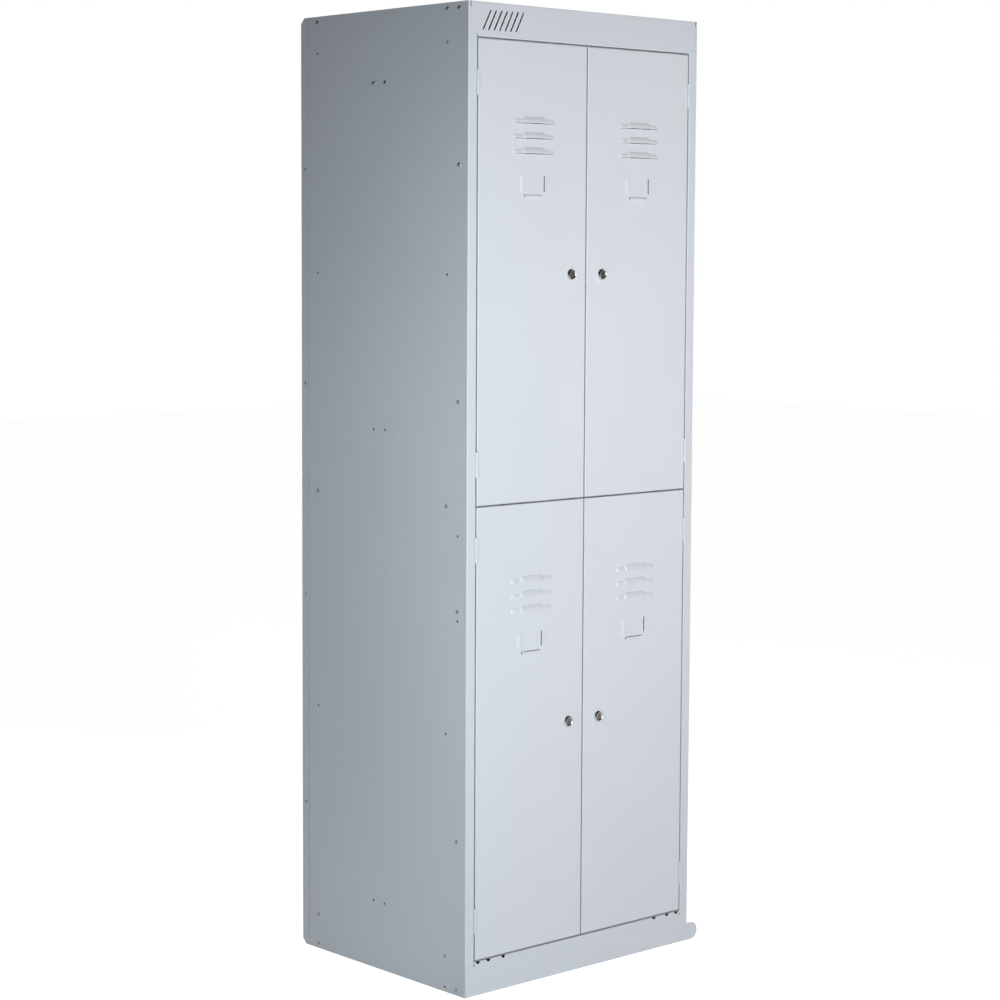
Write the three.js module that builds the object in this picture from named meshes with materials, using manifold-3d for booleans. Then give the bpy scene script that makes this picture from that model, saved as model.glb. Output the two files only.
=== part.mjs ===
// Steel locker cabinet: two columns of two doors on a plinth, folded from painted sheet.
// Millimetres, +Z up, doors facing -Y. The origin is at floor level, in the middle of the
// whole box, which the joining tongue makes wider on the right than the cabinet itself.
import * as THREE from 'three';
import { mergeVertices } from 'three/addons/utils/BufferGeometryUtils.js';
import { ConvexGeometry } from 'three/addons/geometries/ConvexGeometry.js';
import Module from 'manifold-3d';

const wasm = await Module();
wasm.setup();

// ---------------------------------------------------------------- driving dimensions
const WIDTH = 600; // the cabinet without its tongue
const DEPTH = 500;
const HEIGHT = 1850;
const SHEET = 0.8; // cabinet panels
const DOOR_SHEET = 1;
const FIT = 0.3; // left between pieces that touch
const LIFT = 0.1; // step where a fold meets the panel's edge
const GAP = 3; // seen all round each door
const STILE = 21.5; // painted margin beside the doors
const HEADER = 63.2; // panel above the doors
const PLINTH = 65.5; // panel below the doors
const DOOR_DEPTH = 17.5;
const DOOR_LIP = 10; // folded inwards at the back of a door's long sides
const STOP_GAP = 1.5; // from a closed door to the stops behind it
const STOP_HEIGHT = 12; // how far the header's stop hangs below the header
const FLANGE = 20; // folded down round the roof, floor and shelves
const FLOOR_RISE = 14.5; // floor above the plinth's ledge
const SHELF_RISE = 9.35; // shelf above the middle of the gap between upper and lower doors
const FLANGE_RIVET_DROP = 11.5; // rivets below the roof, floor and shelf surfaces
const CORNER_CUT = 12; // chamfer at the back's top and bottom corners
const BACK_STRIP = 22; // back panel's fold that shows on the sides
const BACK_SEAM = 0.8;
const LAP = 14; // of the side panel behind that fold
const POST_HALF_WIDTH = 20;
const POST_SHEET = 1.2;
const SEAM_STEP = 4.3; // header and plinth overlap of the stiles, above and below the opening
const PLINTH_STEP = 6.5;
const HEADER_INSET = 4.5; // side panel's narrow fold beside the header
const RELIEF_WIDTH = 1.5; // notch in the header's upper corners
const RELIEF_HEIGHT = 10;

const VENT_SLOTS = 7; // slanted slots at the header's left end
const VENT_WIDTH = 3;
const VENT_PITCH = 13.5;
const VENT_LEAN = 21;
const VENT_RISE = 40;
const VENT_EDGE = 34; // first slot's lower end, from the left side
const VENT_LOWER = 11.2; // slots' lower ends, above the header's lower edge

const DRAIN_RADIUS = 5; // half round notches along the plinth's upper fold
const DRAIN_INSETS = [32, 58.5, 96];
const CORNER_HOLE_RADIUS = 1.5;

const PIN_RADIUS = 1.5;
const BORE_RADIUS = 1.7;
const BARREL_RADIUS = 3.1;
const BARREL_CLEAR = 0.4;
const HINGE_LENGTH = 47;
const HINGE_MIDDLE = 26; // frame's knuckle, between the door's two
const HINGE_DROP = 79.5; // upper hinge below the door's top
const HINGE_LIFT = 76.5; // lower hinge above the door's bottom
const LEAF_DEPTH = 14;
const LEAF_SHEET = 1.2;

const LOUVRES = 3;
const LOUVRE_DROP = 149.5; // first slit below the door's top
const LOUVRE_PITCH = 28;
const HOOD = { width: 65, height: 12.5, reach: 4.5, sunk: 0 };
const WING = { width: 105, height: 8.5, reach: 2.6, sunk: 0.15 };

const CARD = { halfWidth: 26.5, lip: 7, reach: 2, sheet: 0.8 };
const CARD_SIDE_DROP = 246; // card holder's side lips below the door's top
const CARD_SIDE_HEIGHT = 28.5;
const CARD_FOOT_DROP = 281.5;
const CARD_FOOT_HALF_WIDTH = 23.5;

const LOCK_X = 40.5; // from the cabinet's middle
const LOCK_DROP = 429.5; // below the door's top
const LOCK = { head: 11.2, face: 9, barrel: 9.4, plug: 6.5, hole: 9.8, bore: 6.9 };
const LOCK_PROUD = 5.5;
const CAM = { reach: 34, width: 16, sheet: 2.4, shaft: 7, hole: 7.8 };
const CAM_GAP = 3; // behind the post

const STIFFENER = { x: 70, width: 12, wing: 6, depth: 8, endGap: 20 };
const RAIL = { radius: 8, bore: 6.8, y: 6, plate: 1.6, plateWidth: 50, plateHeight: 22 };
const RAIL_DROP = { upper: 70.3, lower: 137.5 }; // rails below the door tops
const RAIL_SPARE_RISE = { upper: 128.7, lower: 64.8 }; // unused rail holes above door bottoms
const RAIL_HOLE_OFFSET = 17;

const TONGUE = { reach: 30.6, height: 35, sheet: 1.2, inside: 40 };

const HOLE_RADIUS = 1.7; // open holes in the side panels
const RIVET = { radius: 4, backRadius: 3.2, crown: 0.6, proud: 1.2 }; // heads, outside the walls
const FLANGE_HOLE_INSETS = [59, 447]; // from the front
const FRONT_HOLE_INSET = 26;
const STILE_RIVETS = [195.5, 630.5]; // above and below the shelf's rivets
const STILE_HOLES = [53.2, 212.5]; // below them
const BACK_RIVETS = [211, 631];
const BACK_RIVET_INSET = 14; // from the back
const FOOT_HOLE_RISE = 9.5;
const SPARE_SHELF_DROP = 5; // topmost spare holes, below the upper door's top

const ROUND = 16; // sides of a lock's circles
const SMALL_ROUND = 12;
const HOLE_ROUND = 8;

// ---------------------------------------------------------------- places worked out
const FRONT = -DEPTH / 2;
const BACK = DEPTH / 2;
const SIDE = WIDTH / 2;
const INNER = SIDE - SHEET - FIT; // outermost face of what fits between the side panels
const STILE_EDGE = SIDE - STILE;
const PIN_X = STILE_EDGE - GAP / 2;
const DOOR_EDGE = PIN_X - GAP / 2;
const OPENING_TOP = HEIGHT - HEADER;
const DOOR_HEIGHT = (OPENING_TOP - PLINTH - 3 * GAP) / 2;
const DOOR_BASE = { lower: PLINTH + GAP, upper: PLINTH + 2 * GAP + DOOR_HEIGHT };
const DOOR_TOP = { lower: DOOR_BASE.lower + DOOR_HEIGHT, upper: DOOR_BASE.upper + DOOR_HEIGHT };
const STOP = FRONT + DOOR_DEPTH + STOP_GAP; // front face of everything a door closes on
const FLOOR = PLINTH + FLOOR_RISE;
const SHELF = DOOR_TOP.lower + GAP / 2 + SHELF_RISE;
const POST_BACK = STOP + POST_SHEET;
const BACK_INNER = BACK - SHEET - FIT; // rearmost face of what fits before the back panel
const CAM_FRONT = POST_BACK + CAM_GAP;
const CAM_BACK = CAM_FRONT + CAM.sheet;
const RAIL_Z = { upper: DOOR_TOP.upper - RAIL_DROP.upper, lower: DOOR_TOP.lower - RAIL_DROP.lower };

// Heights free of the floor's, shelves' and roof's folds, for folds that run up the back.
const CLEAR_SPANS = [
  [FLOOR + LAP, SHELF - FLANGE - LAP],
  [SHELF + LAP, HEIGHT - 2 * FLANGE],
];

const SIDES = { left: -1, right: 1 };
const LEVELS = ['upper', 'lower'];

// ---------------------------------------------------------------- finishes
const paint = (colour, roughness = 0.45) => () =>
  new THREE.MeshStandardMaterial({ color: colour, roughness, metalness: 0.1 });
const metal = (colour, roughness) => () =>
  new THREE.MeshStandardMaterial({ color: colour, roughness, metalness: 1 });
const FINISH = {
  cabinet: paint(0xc9cfd4),
  door: paint(0xd3d9de),
  hinge: paint(0xcdd3d8),
  zinc: metal(0xb9bcc0, 0.35),
  chrome: metal(0xd9dadc, 0.12),
  plug: metal(0x8d8a87, 0.3),
};

// ---------------------------------------------------------------- solids
// Corners rounded to a step, those that meet merged, and triangles with no area dropped.
function tidy(geometry, steps) {
  const bare = geometry.clone();
  bare.deleteAttribute('normal');
  bare.deleteAttribute('uv');
  const corners = bare.attributes.position.array.map((value) => Math.round(value * steps) / steps);
  bare.setAttribute('position', new THREE.BufferAttribute(corners, 3));
  const merged = mergeVertices(bare, 1e-5);
  const index = merged.index.array;
  const triangles = [];
  for (let i = 0; i < index.length; i += 3) {
    const [a, b, c] = index.slice(i, i + 3);
    if (a !== b && b !== c && c !== a) triangles.push(a, b, c);
  }
  return merged.setIndex(triangles);
}

// A closed geometry as a solid that can be joined and cut.
function solid(geometry) {
  const clean = tidy(geometry, 1e4);
  return new wasm.Manifold(
    new wasm.Mesh({
      numProp: 3,
      vertProperties: clean.attributes.position.array,
      triVerts: Uint32Array.from(clean.index.array),
    })
  );
}

const join = (solids) => solids.reduce((whole, piece) => whole.add(piece));
const cut = (whole, tools) => tools.reduce((rest, tool) => rest.subtract(tool), whole);

// A box between two corners, in any order.
function box(xs, ys, zs) {
  const [[x0, x1], [y0, y1], [z0, z1]] = [xs, ys, zs];
  const geometry = new THREE.BoxGeometry(Math.abs(x1 - x0), Math.abs(y1 - y0), Math.abs(z1 - z0));
  return solid(geometry.translate((x0 + x1) / 2, (y0 + y1) / 2, (z0 + z1) / 2));
}

// The same, with x counted outwards from the cabinet's middle on one side.
const sideBox = (side, xs, ys, zs) => box(xs.map((x) => side * x), ys, zs);

const hull = (points) => solid(new ConvexGeometry(points.map((p) => new THREE.Vector3(...p))));

// Outlines run in y and z along x, in x and z along y, and in x and y along z.
const EXTRUDE = {
  x: { basis: [[0, 1, 0], [0, 0, 1], [1, 0, 0]], start: ([from]) => [from, 0, 0] },
  y: { basis: [[1, 0, 0], [0, 0, 1], [0, -1, 0]], start: ([, to]) => [0, to, 0] },
  z: { basis: [[1, 0, 0], [0, 1, 0], [0, 0, 1]], start: ([from]) => [0, 0, from] },
};

function extruded(axis, shape, span, curveSegments = 8) {
  const depth = span[1] - span[0];
  const geometry = new THREE.ExtrudeGeometry(shape, { depth, bevelEnabled: false, curveSegments });
  const { basis, start } = EXTRUDE[axis];
  const turn = new THREE.Matrix4().makeBasis(...basis.map((v) => new THREE.Vector3(...v)));
  return solid(geometry.applyMatrix4(turn).translate(...start(span)));
}

const outline = (points) => new THREE.Shape(points.map(([u, v]) => new THREE.Vector2(u, v)));

// Sheet folded along a path of its outer face, with its thickness on the path's left.
function folded(axis, path, sheet, span) {
  const points = path.map(([u, v]) => new THREE.Vector2(u, v));
  const left = (from, to) => {
    const along = to.clone().sub(from).normalize();
    return new THREE.Vector2(-along.y, along.x);
  };
  const inner = points.map((point, i) => {
    const before = left(points[Math.max(i, 1) - 1], points[Math.max(i, 1)]);
    const after = left(...(i + 1 < points.length ? [point, points[i + 1]] : [points[i - 1], point]));
    const mitre = before.clone().add(after).multiplyScalar(sheet / (1 + before.dot(after)));
    return point.clone().add(mitre);
  });
  return extruded(axis, new THREE.Shape([...points, ...inner.reverse()]), span);
}

// The same, with x counted outwards; the path runs so that its left is inwards on the right side.
const mirrored = (side, path) => (side > 0 ? path : path.map(([x, y]) => [-x, y]).reverse());

const ROD_TURN = { x: (g) => g.rotateZ(Math.PI / 2), y: (g) => g, z: (g) => g.rotateX(Math.PI / 2) };
const ROD_START = 0.1; // turns a rod's edges out of line with flat faces

function rod(axis, radius, length, [x, y, z], sides = SMALL_ROUND, start = ROD_START) {
  const geometry = new THREE.CylinderGeometry(radius, radius, length, sides, 1, false, start);
  return solid(ROD_TURN[axis](geometry).translate(x, y, z));
}

const cabinet = new THREE.Group();

function addPiece(name, shape, finish) {
  const { vertProperties, triVerts } = shape.getMesh();
  const rough = new THREE.BufferGeometry();
  rough.setAttribute('position', new THREE.BufferAttribute(vertProperties, 3));
  rough.setIndex(new THREE.BufferAttribute(triVerts, 1));
  const geometry = tidy(rough, 100);
  geometry.computeVertexNormals();
  const mesh = new THREE.Mesh(geometry, finish());
  mesh.name = name;
  cabinet.add(mesh);
}

// ---------------------------------------------------------------- side panels
const hingeHeights = (level) => [DOOR_TOP[level] - HINGE_DROP, DOOR_BASE[level] + HINGE_LIFT];

// Where the side walls are riveted, and where their spare holes stay open, in y and z.
function sideFixings() {
  const shelfRivets = SHELF - FLANGE_RIVET_DROP;
  const frontY = FRONT + FRONT_HOLE_INSET;
  const rivets = [[frontY, HEIGHT - FLANGE_RIVET_DROP], [frontY, FOOT_HOLE_RISE]];
  const holes = STILE_HOLES.map((drop) => [frontY, shelfRivets - drop]);
  for (const rise of STILE_RIVETS) {
    rivets.push([frontY, shelfRivets + rise], [frontY, shelfRivets - rise]);
  }
  for (const inset of FLANGE_HOLE_INSETS) {
    const y = FRONT + inset;
    for (const surface of [HEIGHT, SHELF, FLOOR]) rivets.push([y, surface - FLANGE_RIVET_DROP]);
    for (const level of LEVELS) holes.push([y, DOOR_TOP[level] - LOCK_DROP]);
    holes.push([y, DOOR_TOP.upper - SPARE_SHELF_DROP], [y, FOOT_HOLE_RISE]);
  }
  for (const end of [-1, 1]) {
    const y = RAIL.y + end * RAIL_HOLE_OFFSET;
    rivets.push([y, RAIL_Z.upper]);
    holes.push([y, RAIL_Z.lower]);
    for (const level of LEVELS) holes.push([y, DOOR_BASE[level] + RAIL_SPARE_RISE[level]]);
  }
  return { rivets, holes };
}

// Head of a rivet, with its foot sunk in the sheet that it is set in.
function rivetHead(side, radius, [y, z]) {
  const sunk = SHEET / 2;
  const height = RIVET.proud + sunk;
  const crown = radius * RIVET.crown;
  const geometry = new THREE.CylinderGeometry(crown, radius, height, SMALL_ROUND, 1, false, ROD_START);
  geometry.rotateZ((-side * Math.PI) / 2);
  return solid(geometry.translate(side * (SIDE - sunk + height / 2), y, z));
}

// Wall, stile with its return, narrow fold beside the header, foot and the lap that the back's
// fold covers.
function sidePanel(side) {
  const seam = BACK - BACK_STRIP - BACK_SEAM;
  const stileRear = FRONT + DOOR_DEPTH;
  const path = [
    [INNER, seam + LAP],
    [INNER, seam],
    [SIDE, seam],
    [SIDE, FRONT],
    [STILE_EDGE, FRONT],
    [STILE_EDGE, stileRear],
  ].reverse();
  const wall = folded('z', mirrored(side, path), SHEET, [LIFT, HEIGHT]);
  const foot = sideBox(side, [SIDE - FLANGE, SIDE - LIFT], [STOP + 2 * SHEET, seam - 2 * SHEET], [0, SHEET]);

  const fold = [FRONT - 1, stileRear + 1];
  const lap = [seam - SHEET - 1, seam + LAP + 1];
  const clear = [INNER - SHEET - 1, SIDE - SHEET - LIFT];
  const [[lapBase, lapShelf], [lapDeck, lapTop]] = CLEAR_SPANS;
  const tools = [
    sideBox(side, [STILE_EDGE - 1, clear[1]], fold, [-1, PLINTH - PLINTH_STEP]),
    sideBox(side, [STILE_EDGE - 1, SIDE - HEADER_INSET], fold, [OPENING_TOP + SEAM_STEP, HEIGHT + 1]),
    sideBox(side, clear, lap, [-1, lapBase]),
    sideBox(side, clear, lap, [lapShelf, lapDeck]),
    sideBox(side, clear, lap, [lapTop, HEIGHT + 1]),
  ];
  const { rivets, holes } = sideFixings();
  for (const [y, z] of holes) {
    tools.push(rod('x', HOLE_RADIUS, 4 * SHEET, [side * SIDE, y, z], HOLE_ROUND));
  }
  const notch = BARREL_RADIUS + BARREL_CLEAR;
  for (const z of LEVELS.flatMap(hingeHeights)) {
    const half = HINGE_LENGTH / 2 + BARREL_CLEAR;
    tools.push(sideBox(side, [PIN_X, PIN_X + notch], [FRONT - 1, FRONT + notch], [z - half, z + half]));
  }
  if (side > 0) {
    const slot = FIT + TONGUE.sheet + FIT + SHEET;
    tools.push(box([SIDE - 2, SIDE + 1], [FRONT - 1, FRONT + slot], [-1, TONGUE.height + FIT]));
  }
  const heads = rivets.map((place) => rivetHead(side, RIVET.radius, place));
  return join([cut(wall.add(foot), tools), ...heads]);
}

// ---------------------------------------------------------------- back, roof, floor, shelves
// Everything behind a slanting line across a corner in y and z.
function cornerCutter(up) {
  const spare = 5;
  const z = up > 0 ? HEIGHT : 0;
  const near = [BACK - CORNER_CUT - spare, z + up * spare];
  const far = [BACK + spare, z - up * (CORNER_CUT + spare)];
  return extruded('x', outline([near, far, [far[0], near[1]]]), [-SIDE - 1, SIDE + 1]);
}

function backPanel() {
  const path = [
    [SIDE, BACK - BACK_STRIP],
    [SIDE, BACK],
    [-SIDE, BACK],
    [-SIDE, BACK - BACK_STRIP],
  ];
  const rivetY = BACK - BACK_RIVET_INSET;
  const shelfRivets = SHELF - FLANGE_RIVET_DROP;
  const heads = [-1, 1].flatMap((side) =>
    BACK_RIVETS.flatMap((rise) => [rise, -rise]).map((rise) =>
      rivetHead(side, RIVET.backRadius, [rivetY, shelfRivets + rise])
    )
  );
  const panel = cut(folded('z', path, SHEET, [0, HEIGHT]), [cornerCutter(1), cornerCutter(-1)]);
  return join([panel, ...heads]);
}

// Folds down both sides of a panel that lies between the side panels.
const sideFolds = (ys, surface) =>
  [-1, 1].map((side) =>
    sideBox(side, [INNER - LIFT - SHEET, INNER - LIFT], ys, [surface - FLANGE, surface - LIFT])
  );

// One slanted vent with round ends, cut through the header.
function ventSlot(x, z) {
  const length = Math.hypot(VENT_LEAN, VENT_RISE) - VENT_WIDTH;
  const radius = VENT_WIDTH / 2;
  const shape = new THREE.Shape();
  shape.absarc(0, length / 2, radius, 0, Math.PI);
  shape.absarc(0, -length / 2, radius, Math.PI, 2 * Math.PI);
  const options = { depth: 4 * SHEET, bevelEnabled: false, curveSegments: 4 };
  const geometry = new THREE.ExtrudeGeometry(shape, options);
  geometry.translate(0, 0, -2 * SHEET).rotateZ(-Math.atan2(VENT_LEAN, VENT_RISE));
  return solid(geometry.rotateX(Math.PI / 2).translate(x + VENT_LEAN / 2, FRONT, z + VENT_RISE / 2));
}

// Roof with the header folded down in front, a stop behind the doors and a sloping rear fold.
function roofPanel() {
  const headerEnd = SIDE - HEADER_INSET - FIT;
  const path = [
    [STOP, OPENING_TOP - STOP_HEIGHT],
    [STOP, OPENING_TOP],
    [FRONT, OPENING_TOP],
    [FRONT, HEIGHT],
    [BACK - CORNER_CUT, HEIGHT],
    [BACK_INNER, HEIGHT - CORNER_CUT + FIT],
    [BACK_INNER, HEIGHT - CORNER_CUT - LAP],
  ].reverse();
  const along = [STOP + 4 * SHEET, BACK - CORNER_CUT - 4 * SHEET];
  const shape = join([folded('x', path, SHEET, [-INNER, INNER]), ...sideFolds(along, HEIGHT)]);

  const front = [FRONT - 1, STOP + 2 * SHEET];
  const beyond = INNER + 1;
  const tools = [];
  for (const side of [-1, 1]) {
    const low = [OPENING_TOP - STOP_HEIGHT - 1, OPENING_TOP + SEAM_STEP + FIT];
    tools.push(
      sideBox(side, [STILE_EDGE - FIT, beyond], front, low),
      sideBox(side, [headerEnd, beyond], [FRONT - 1, FRONT + 2 * SHEET], [low[0], HEIGHT + 1]),
      sideBox(
        side,
        [headerEnd - RELIEF_WIDTH, beyond],
        [FRONT - 1, FRONT + SHEET + FIT],
        [HEIGHT - RELIEF_HEIGHT, HEIGHT + 1]
      )
    );
  }
  for (let i = 0; i < VENT_SLOTS; i++) {
    tools.push(ventSlot(VENT_EDGE - SIDE + i * VENT_PITCH, OPENING_TOP + VENT_LOWER));
  }
  return cut(shape, tools);
}

// Floor folded into a door stop, a ledge, the plinth's front and its foot.
function floorPanel() {
  const middle = STILE_EDGE - FIT;
  const corner = PLINTH - PLINTH_STEP - FIT;
  const path = [
    [BACK_INNER, FLOOR - FLANGE],
    [BACK_INNER, FLOOR],
    [STOP, FLOOR],
    [STOP, PLINTH],
    [FRONT, PLINTH],
    [FRONT, 0],
    [STOP, 0],
  ];
  const along = [STOP + 4 * SHEET, BACK - CORNER_CUT - 4 * SHEET];
  const shape = join([folded('x', path, SHEET, [-INNER, INNER]), ...sideFolds(along, FLOOR)]);

  const front = [FRONT - 1, STOP + 2 * SHEET];
  const tools = [-1, 1].flatMap((side) => [
    sideBox(side, [middle, INNER + 1], front, [corner, FLOOR + 1]),
    rod('y', CORNER_HOLE_RADIUS, 4 * SHEET, [side * (middle - 1), FRONT, corner], HOLE_ROUND),
    ...DRAIN_INSETS.flatMap((inset) => [
      rod('y', DRAIN_RADIUS, 4 * SHEET, [side * (SIDE - inset), FRONT, PLINTH], SMALL_ROUND),
      rod('z', DRAIN_RADIUS, 4 * SHEET, [side * (SIDE - inset), FRONT, PLINTH], SMALL_ROUND),
    ]),
  ]);
  return cut(shape, tools);
}

// Shelf between the upper and lower compartments of one column.
function midShelf(side) {
  const near = SHEET / 2 + FIT;
  const span = side > 0 ? [near, INNER] : [-INNER, -near];
  const path = [
    [BACK_INNER, SHELF - FLANGE],
    [BACK_INNER, SHELF],
    [STOP, SHELF],
    [STOP, SHELF - FLANGE - STOP_GAP],
  ];
  const rows = [STOP + 3 * SHEET, BACK_INNER - 2 * SHEET];
  const fold = [SHELF - FLANGE, SHELF - LIFT];
  const front = [STOP - 1, STOP + 2 * SHEET];
  const heights = [SHELF - 2 * FLANGE, SHELF + 1];
  return cut(
    join([
      folded('x', path, SHEET, span),
      sideBox(side, [INNER - LIFT - SHEET, INNER - LIFT], rows, fold),
      sideBox(side, [near + LIFT, near + LIFT + SHEET], rows, fold),
    ]),
    [
      sideBox(side, [near - 1, POST_HALF_WIDTH + FIT], front, heights),
      sideBox(side, [STILE_EDGE, INNER + 1], front, heights),
    ]
  );
}

// Wall between the columns, with narrow folds at its top, bottom and back.
function centrePartition() {
  const half = SHEET / 2;
  const rear = BACK_INNER - SHEET - FIT;
  const front = STOP + POST_SHEET + FIT;
  const top = HEIGHT - SHEET - FIT;
  const base = FLOOR + FIT;
  const wall = outline([
    [front, base],
    [rear, base],
    [rear, HEIGHT - CORNER_CUT - SHEET - FIT],
    [BACK - CORNER_CUT - 2 * SHEET, top],
    [front, top],
  ]);
  const fold = [0, LAP];
  const along = [front + FLANGE, BACK - CORNER_CUT - FLANGE];
  const behind = [rear - LIFT - SHEET, rear - LIFT];
  return join([
    extruded('x', wall, [-half, half]),
    box(fold, along, [top - LIFT - SHEET, top - LIFT]),
    box(fold, along, [base + LIFT, base + LIFT + SHEET]),
    ...CLEAR_SPANS.map((span) => box(fold, behind, span)),
  ]);
}

const centrePost = () =>
  box([-POST_HALF_WIDTH, POST_HALF_WIDTH], [STOP, POST_BACK], [FLOOR + FIT, OPENING_TOP - STOP_HEIGHT - FIT]);

// Tube with a riveted plate at each end, open right through.
function coatRail(side, level) {
  const ends = [SHEET / 2 + FIT, INNER];
  const length = ends[1] - ends[0];
  const z = RAIL_Z[level];
  const centre = [side * (ends[0] + length / 2), RAIL.y, z];
  const ys = [RAIL.y - RAIL.plateWidth / 2, RAIL.y + RAIL.plateWidth / 2];
  const zs = [z - RAIL.plateHeight / 2, z + RAIL.plateHeight / 2];
  return join([
    rod('x', RAIL.radius, length - 2 * LIFT, centre),
    sideBox(side, [ends[0], ends[0] + RAIL.plate], ys, zs),
    sideBox(side, [ends[1] - RAIL.plate, ends[1]], ys, zs),
  ]).subtract(rod('x', RAIL.bore, length + 2, centre));
}

// Round-ended tongue behind the plinth, through the right side, that joins the next cabinet.
// Inside the cabinet it clears the plinth's foot.
function plinthTongue() {
  const front = FRONT + SHEET + FIT;
  const radius = TONGUE.height / 2;
  const lift = SHEET + FIT;
  const tip = SIDE + TONGUE.reach - radius;
  const shape = new THREE.Shape();
  shape.moveTo(SIDE - TONGUE.inside, lift).lineTo(SIDE, lift).lineTo(SIDE, 0).lineTo(tip, 0);
  shape.absarc(tip, radius, radius, -Math.PI / 2, Math.PI / 2);
  shape.lineTo(SIDE - TONGUE.inside, TONGUE.height);
  return extruded('y', shape, [front, front + TONGUE.sheet]);
}

// ---------------------------------------------------------------- hinges
const atPin = (side, z) => [side * PIN_X, FRONT, z];

function frameHinge(side, z) {
  const seat = STILE_EDGE - FIT;
  const half = HINGE_MIDDLE / 2;
  const leaf = [z - half + LIFT, z + half - LIFT];
  return join([
    rod('z', BARREL_RADIUS, HINGE_MIDDLE, atPin(side, z)),
    sideBox(side, [seat - LEAF_SHEET, seat], [FRONT, FRONT + LEAF_DEPTH], leaf),
  ]).subtract(rod('z', BORE_RADIUS, HINGE_LENGTH, atPin(side, z)));
}

const hingePin = (side, z) => rod('z', PIN_RADIUS, HINGE_LENGTH, atPin(side, z));

// ---------------------------------------------------------------- doors
// Hood that stands out of the door over a slit, or the hollow inside it, open downwards.
function hoodShape(x, z, { width, height, reach, sunk }, hollow) {
  const wall = hollow ? DOOR_SHEET : 0;
  const half = width / 2 - wall;
  const slant = reach + 1.5;
  const root = FRONT + (hollow ? DOOR_SHEET + 1 : DOOR_SHEET / 2) + sunk;
  const brow = FRONT - reach + wall;
  const base = z + sunk;
  const top = z + height - wall;
  const foot = hollow ? base - 1 : base;
  return hull([
    ...[-half, half].flatMap((dx) => [
      [x + dx, root, base],
      [x + dx, root, top],
      [x + dx, FRONT, top],
    ]),
    ...[slant - half, half - slant].flatMap((dx) => [
      [x + dx, brow, foot],
      [x + dx, brow + reach * 0.12, z + height * 0.3],
    ]),
  ]);
}

// Lips pressed out of the face on three sides of a card, each over its own slit.
function cardLips(x, top) {
  const skin = FRONT + DOOR_SHEET / 2;
  const front = FRONT - CARD.reach;
  const rear = FRONT + DOOR_SHEET + 1;
  const outer = CARD.halfWidth + CARD.lip;
  const sideZ = [top - CARD_SIDE_DROP - CARD_SIDE_HEIGHT, top - CARD_SIDE_DROP];
  const footZ = [top - CARD_FOOT_DROP - CARD.lip, top - CARD_FOOT_DROP];
  const footX = [x - CARD_FOOT_HALF_WIDTH, x + CARD_FOOT_HALF_WIDTH];
  const slitFront = front + CARD.sheet;
  const slitBase = footZ[0] + CARD.sheet;
  const lips = [box(footX, [front, skin], footZ)];
  const slits = [
    box([footX[0] - 1, footX[1] + 1], [slitFront, FRONT - LIFT], [slitBase, footZ[1] + 1]),
    box([footX[0] + 1, footX[1] - 1], [slitFront, rear], [slitBase, footZ[1]]),
  ];
  for (const sign of [-1, 1]) {
    const span = (from, to) => [x + sign * from, x + sign * to];
    lips.push(box(span(CARD.halfWidth, outer), [front, skin], sideZ));
    slits.push(
      box(
        span(CARD.halfWidth - 1, outer - CARD.sheet),
        [front + CARD.sheet, FRONT - LIFT],
        [sideZ[0] - 1, sideZ[1] + 1]
      ),
      box(span(CARD.halfWidth, outer - CARD.sheet), [front + CARD.sheet, rear], [sideZ[0] + 1, sideZ[1] - 1])
    );
  }
  return { lips, slits };
}

// Tray folded from one sheet, with its louvres, card holder and the outer knuckles of its hinges.
function doorPanel(side, level) {
  const base = DOOR_BASE[level];
  const top = DOOR_TOP[level];
  const near = GAP / 2;
  const rear = FRONT + DOOR_DEPTH;
  const middle = (side * (near + DOOR_EDGE)) / 2;
  const path = [
    [DOOR_EDGE - DOOR_LIP, rear],
    [DOOR_EDGE, rear],
    [DOOR_EDGE, FRONT],
    [near, FRONT],
    [near, rear],
    [near + DOOR_LIP, rear],
  ].reverse();
  const within = [near + DOOR_SHEET / 2, DOOR_EDGE - DOOR_SHEET / 2];
  const depth = [FRONT + DOOR_SHEET / 2, rear - DOOR_SHEET / 2];
  const shapes = [
    folded('z', mirrored(side, path), DOOR_SHEET, [base, top]),
    sideBox(side, within, depth, [base + LIFT, base + LIFT + DOOR_SHEET]),
    sideBox(side, within, depth, [top - LIFT - DOOR_SHEET, top - LIFT]),
  ];
  const tools = [rod('y', LOCK.hole, 4 * DOOR_SHEET, [side * LOCK_X, FRONT, top - LOCK_DROP], ROUND)];

  const notch = BARREL_RADIUS + BARREL_CLEAR;
  const knuckle = (HINGE_LENGTH - HINGE_MIDDLE) / 2 - FIT;
  const halfMiddle = HINGE_MIDDLE / 2 + FIT;
  for (const z of hingeHeights(level)) {
    for (const end of [-1, 1]) {
      shapes.push(rod('z', BARREL_RADIUS, knuckle, atPin(side, z + end * (halfMiddle + knuckle / 2))));
    }
    tools.push(
      sideBox(side, [PIN_X - notch, PIN_X], [FRONT - 1, FRONT + notch], [z - halfMiddle, z + halfMiddle]),
      rod('z', BORE_RADIUS, HINGE_LENGTH + 2, atPin(side, z))
    );
  }
  for (let i = 0; i < LOUVRES; i++) {
    const z = top - LOUVRE_DROP - i * LOUVRE_PITCH;
    for (const size of [WING, HOOD]) {
      shapes.push(hoodShape(middle, z, size, false));
      tools.push(hoodShape(middle, z, size, true));
    }
  }
  const { lips, slits } = cardLips(middle, top);
  return cut(join([...shapes, ...lips]), [...tools, ...slits]);
}

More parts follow.
